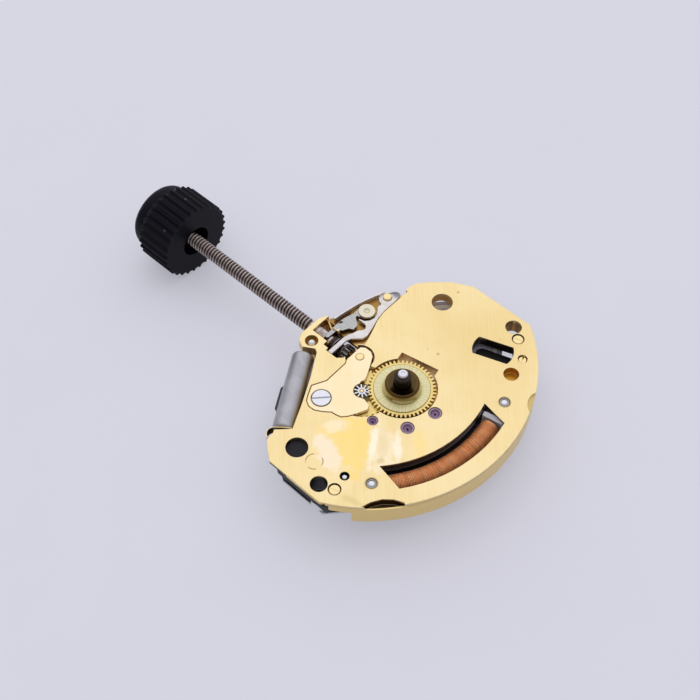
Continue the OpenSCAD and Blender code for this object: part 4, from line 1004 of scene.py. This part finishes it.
def dial_side_screws(steel, gilt):
    screw = slotted(BRIDGE_SCREW, 0.48, -0.09, 0.02, 0.1, -0.05, 47)
    blend_in(screw, turned([(0, -0.08), (0.2, -0.08), (0.2, -0.59), (0.19, -0.6), (0, -0.6)],
        BRIDGE_SCREW, 32))
    put_down(screw, "bridge_screw_head", steel, ["bridge_screw"])
    small = bmesh.new()
    for at in DIAL_SCREWS:
        blend_in(small, slotted(at, 0.272, -0.2, -0.045, 0.03, -0.06, 20))
        blend_in(small, turned(rod(0.14, -0.19, -0.5), at, 24))
    put_down(small, "dial_screw_heads", gilt, ["dial_screws"])
    contact = slotted(CONTACT_SCREW, 0.21, -0.29, -0.08, 0.08, -0.2, 110)
    blend_in(contact, turned(rod(0.11, -0.28, -0.92), CONTACT_SCREW, 24))
    put_down(contact, "contact_screw_head", gilt, ["contact_screw"])


def lever_pins(cream, pale):
    axle = turned([(0, -0.068), (0.05, -0.062), (0.1, -0.04), (0.15, -0.005), (0.175, 0.012), (0.2, 0.02),
        (0.4, 0.02), (0.44, 0.012), (0.458, -0.01), (0.46, -0.03), (0.46, -0.12), (0.18, -0.12),
        (0.18, -0.59), (0.17, -0.6), (0, -0.6)], AXLE, 64)
    put_down(axle, "lever_axle_button", cream, ["lever_axle"], 35, "setting_lever_body")
    pin = turned([(0, -0.018), (0.12, -0.02), (0.19, -0.03), (0.22, -0.05), (0.23, -0.08), (0.23, -0.6),
        (0, -0.6)], YOKE_PIN, 48)
    put_down(pin, "yoke_pin_end", pale, ["yoke_pin"])


def back_screws(steel):
    """Screws of the train bridge, circuit cover, battery strap and stem cover, heads to the back."""
    for name, places, radius, z_seat, z_head, shank, z_end, turn in (
        ("train_bridge_screws", PILLARS, 0.36, -1.86, -2.0, 0.14, -0.9, 30),
        ("cover_screws", COVER_SCREWS, 0.3, -1.99, -2.11, 0.12, -1.35, 70),
        ("strap_screws", STRAP_POSTS, 0.37, -2.31, -2.38, 0.14, -1.0, 60),
        ("stem_cover_screw", [COVER_PLATE_SCREW], 0.28, -1.415, -1.535, 0.14, -1.1, 15),
    ):
        depth = 0.6 * (z_seat - z_head)
        bm = bmesh.new()
        for at in places:
            blend_in(bm, slotted(at, radius, z_seat, z_head, 0.14, z_head + depth, turn, -1))
            blend_in(bm, turned(rod(shank, z_seat - 0.01, z_end), at, 24))
        put_down(bm, name + "_heads", steel, [name])


def keyless_works(silver, grey, black):
    """Levers, spring and sliding pinion. The yoke's arm is eased off the plate's wall."""
    yoke = dressed("yoke", silver, 0.028)
    for vert in yoke.data.vertices:
        if vert.co.x < ARM_X * MM and ARM_Y[0] * MM < vert.co.y < ARM_Y[1] * MM:
            vert.co.x += ARM_EASE * MM
    dressed("setting_lever", grey, 0.028)
    dressed("lever_spring", silver, 0.012)
    dressed("sliding_pinion", black, 0.02)


def helix():
    """The stem's thread: its ridge's profile wound along it."""
    bm = bmesh.new()
    pitch, turns, ring = 0.2, 48, 24
    ridge = [(0.318, 0), (0.325, 0.012), (0.392, 0.082), (0.4, 0.095), (0.4, 0.115), (0.392, 0.128),
        (0.325, 0.188), (0.318, pitch)]
    verts = [bm.verts.new((r, 0, 6.4 + z)) for r, z in ridge]
    edges = [bm.edges.new(pair) for pair in zip(verts, verts[1:])]
    spun(bm, verts + edges, turns * ring, turns * tau, pitch / ring)
    bmesh.ops.remove_doubles(bm, verts=bm.verts, dist=MERGE)
    bmesh.ops.holes_fill(bm, edges=[e for e in bm.edges if e.is_boundary])
    face_out(bm)
    return bm


def threaded_stem(steel):
    body = turned([(0, 6.5), (0.33, 6.5), (0.33, 6.42), (0.4, 6.36), (0.4, 5.24), (0.385, 5.22), (0.2, 5.22),
        (0.2, 4.97), (0.385, 4.97), (0.4, 4.955), (0.4, 4.835), (0.385, 4.82), (0.18, 4.82),
        (0.18, 3.6), (0.15, 3.58), (0.15, 3.03), (0.12, 3.0), (0, 3.0)], steps=48)
    blend_in(body, turned([(0, 16.0), (0.33, 16.0), (0.4, 16.08), (0.4, 17.4), (0, 17.4)], steps=48))
    square = bmesh.new()
    bmesh.ops.create_cube(square, size=1.0)
    bmesh.ops.scale(square, vec=(0.4, 0.4, 1.33), verts=square.verts)
    bmesh.ops.bevel(square, geom=square.edges[:], offset=0.03, segments=2, profile=0.5, affect="EDGES",
        material=-1)
    bmesh.ops.translate(square, vec=(0, 0, 4.215), verts=square.verts)
    blend_in(body, square)
    blend_in(body, helix())
    put_down(along_x(body), "threaded_stem", steel, ["stem"], 40, "stem_body")


def fluted_knob(black):
    """Knob with sharp flutes, a recess round the bore in its inner face and a smooth band at its outer end.
    """
    flutes, r, deep, bore, length = 30, 2.28, 0.15, 0.9, 2.25
    half = ((0, 0), (0.08, 0.06), (0.16, 0.4), (0.26, 0.78), (0.38, 0.96), (0.5, 1.0))
    outline = [(bore, 0.5), (bore, 0), (bore, -0.5)]
    outline += [(r - cut * deep, -k) for k, cut in half[:0:-1]] + [(r - cut * deep, k) for k, cut in half]
    bm = raised_ring(outline, flutes, length)
    rims = [e for e in bm.edges if len(e.link_faces) == 2 and e.calc_face_angle(0) > 1
        and abs(e.verts[0].co.z - e.verts[1].co.z) < MERGE and all(v.co.xy.length > 1.2 for v in e.verts)]
    rounds = rounded_over(bm, rims, 0.045)
    for edge in bm.edges:
        if len(edge.link_faces) == 2 and len(rounds.intersection(edge.link_faces)) == 1:
            edge.smooth = False
    plug = turned([(0.42, 2.6), (0.42, 0.9), (0.92, 0.9), (0.92, 2.6)], steps=64)
    band = turned([(0, 3.15), (1.6, 3.15), (1.72, 3.13), (1.82, 3.08), (1.88, 3.0), (1.92, 2.92),
        (1.944, 2.84), (1.95, 2.76), (1.95, 2.28), (1.935, 2.24), (0, 2.24)], steps=96)
    for part in (plug, band):
        blend_in(bm, part)
    put_down(along_x(bm, 15.3), "fluted_knob", black, ["knob"], 26, "stem_body")


def crystal(metal, steel, gilt):
    """Quartz can with rounded ends, its leads and the curled clip at the 12 o'clock end."""
    profile = [(0, -2.35), (0.44, -2.35), (0.5, -2.34), (0.555, -2.31), (0.59, -2.25), (0.6, -2.19),
        (0.6, 2.16), (0.594, 2.21), (0.57, 2.27), (0.53, 2.32), (0.47, 2.345), (0.4, 2.35), (0, 2.35)]
    lying = upright(CAN_MID, -0.62, CAN_TURN) @ Matrix.Rotation(pi / 2, 4, "Y")
    can = laid(turned(profile, steps=72), lying)
    put_down(can, "crystal_can_shell", metal, ["crystal_can"], 30)
    dressed("crystal_leads", steel, 0)
    dressed("crystal_clip", gilt, 0.006)


def coil_turns(wire, start, end, z):
    """Fine wire wound along the plate's arc, its turns lying a little uneven."""
    radius, loops, ring = 0.489, 90, 24
    chance = Random(7)
    sag = [0.005 * chance.random() for _ in range(loops + 2)]
    curve = bpy.data.curves.new("coil_wire_path", "CURVE")
    curve.dimensions = "3D"
    curve.bevel_depth = 0.034 * MM
    curve.bevel_resolution = 0
    curve.use_fill_caps = True
    path = curve.splines.new("POLY")
    count = loops * ring
    path.points.add(count)
    for i in range(count + 1):
        a = start + (end - start) * i / count
        b = tau * i / ring
        share = (i % ring) / ring
        own = radius - sag[i // ring] * (1 - share) - sag[i // ring + 1] * share
        r = COIL_R + own * cos(b)
        point = (ARC_CENTRE[0] + r * cos(a), ARC_CENTRE[1] + r * sin(a), z + own * sin(b))
        path.points[i].co = (*[c * MM for c in point], 1)
    holder = linked("coil_wire_path", curve)
    bpy.context.view_layer.update()
    mesh = bpy.data.meshes.new_from_object(holder.evaluated_get(bpy.context.evaluated_depsgraph_get()))
    bpy.data.objects.remove(holder)
    bm = bmesh.new()
    bm.from_mesh(mesh)
    scaled(bm, 1 / MM)
    put_down(bm, "coil_wire", wire, ["coil_turns", "coil_winding"], 80)


def wound_coil(wire, under, grey, iron):
    """The coil's turns, the layers under them, its flanges and its core."""
    start, end, z = radians(139.45), radians(190.4), -0.75
    coil_turns(wire, start, end, z)
    body = bmesh.new()
    bmesh.ops.create_circle(body, cap_ends=True, radius=0.462, segments=28)
    laid(body, Matrix.Rotation(start, 4, "Z") @ Matrix.Translation((COIL_R, 0, z))
        @ Matrix.Rotation(pi / 2, 4, "X"))
    spun(body, body.faces[:] + body.verts[:] + body.edges[:], 40, end - start)
    face_out(body)
    laid(body, Matrix.Translation((*ARC_CENTRE, 0)))
    put_down(body, "coil_under_layers", under, ["coil_winding"], 40)
    dressed("coil_flanges", grey, 0.03)
    dressed("coil_core", iron)


def battery(steel, seal, dark):
    cell = [(0, -2.15), (2.6, -2.15), (2.78, -2.145), (2.86, -2.11), (2.9, -2.04), (2.9, -1.05),
        (2.885, -1.0), (2.85, -0.98), (2.63, -0.98), (2.61, -0.99), (2.61, -1.08), (0, -1.08)]
    ring = [(2.4, -1.08), (2.4, -0.97), (2.42, -0.96), (2.59, -0.96), (2.61, -0.97), (2.61, -1.08)]
    cap = [(0, -0.9), (2.28, -0.9), (2.34, -0.91), (2.38, -0.94), (2.4, -0.98), (2.4, -1.08), (0, -1.08)]
    for name, profile, slot, material in (("can", cell, "cell_steel", steel),
            ("seal", ring, "seal_white", seal), ("cap", cap, "cell_steel", steel)):
        put_down(turned(profile, CELL, 128), "cell_" + name, material, ["battery_" + name], 30)
    dressed("battery_contact", dark, 0.01)


def main():
    add_camera()
    gilt, pale, brass = gilt_plate(), pale_bridge(), wheel_brass()
    steel, silver, black = bright_steel(), lever_silver(), black_steel()
    cover, plastic, iron, cell = cover_steel(), black_plastic(), soft_iron(), cell_steel()
    gilt_small = pale_gilt()
    violet = violet_jewel()
    plate_and_bridge(gilt, pale)
    hour_work(brass, washer_brass(), collar_side_painted_reflection(), collar_face_painted_reflection())
    hands_arbor(black, steel)
    minute_work(steel, gilt_small)
    jewels(violet)
    steel_pins(steel)
    dial_side_screws(steel, gilt_small)
    lever_pins(cream_metal(), gilt_small)
    back_screws(steel)
    keyless_works(silver, turned_grey(), black)
    threaded_stem(stem_steel())
    fluted_knob(knob_black())
    crystal(can_metal(), steel, gilt_small)
    wound_coil(copper_wire(), copper_under_painted_shade(), flange_grey(), iron)
    battery(cell, seal_white(), iron_painted_dark())
    for name in ("centre_wheel", "second_wheel", "third_wheel", "minute_wheel"):
        dressed(name, brass, 0.01)
    dressed("setting_wheel", shaded_brass(), 0.01)
    dressed("train_bridge", gilt, 0.03)
    dressed("rotor", black, 0.01)
    dressed("stator", iron_painted_dark())
    dressed("circuit_holder", plastic, 0.03)
    dressed("circuit_chip", plastic, 0.04)
    dressed("circuit_board", board_laminate(), 0.012)
    for name in ("circuit_cover", "battery_strap", "stem_cover"):
        dressed(name, cover, 0.02)


def set_stage():
    """Pale table under the knob's lowest point, soft light from above and behind."""
    floor = bmesh.new()
    bmesh.ops.create_circle(floor, cap_ends=True, radius=0.6, segments=64)
    bmesh.ops.translate(floor, vec=(0, 0, cad_box[0].z), verts=floor.verts)
    mesh = bpy.data.meshes.new("table_top")
    floor.to_mesh(mesh)
    floor.free()
    mesh.materials.append(table_top())
    table = linked("table_top", mesh)
    lamp = bpy.data.lights.new("back_softbox", "AREA")
    lamp.shape = "DISK"
    lamp.size = 0.4
    lamp.energy = 0.09
    holder = linked("back_softbox", lamp)
    holder.location = (0.11, -0.12, 0.2)
    holder.rotation_euler = (-holder.location).to_track_quat("-Z", "Y").to_euler()
    world = bpy.data.worlds.new("studio")
    bpy.context.scene.world = world
    world.use_nodes = True
    tree = world.node_tree
    ray = shade(tree, "TexCoord").outputs["Generated"]
    facing = shade(tree, "VectorMath", {0: ray, 1: (0.39, -0.43, 0.81)}, operation="DOT_PRODUCT")
    strength = ramp(tree, facing.outputs["Value"], -0.3, 0.95, 0.3, 0.92)
    straight = shade(tree, "LightPath").outputs["Is Camera Ray"]
    level = shade(tree, "Mix", {"Factor": straight, "A": strength, "B": 0.7})
    feed(tree, tree.nodes["Background"], {"Strength": level.outputs[0], "Color": tone(248, 248, 255)})
    bpy.context.scene.view_settings.view_transform = "Standard"


main()
set_stage()
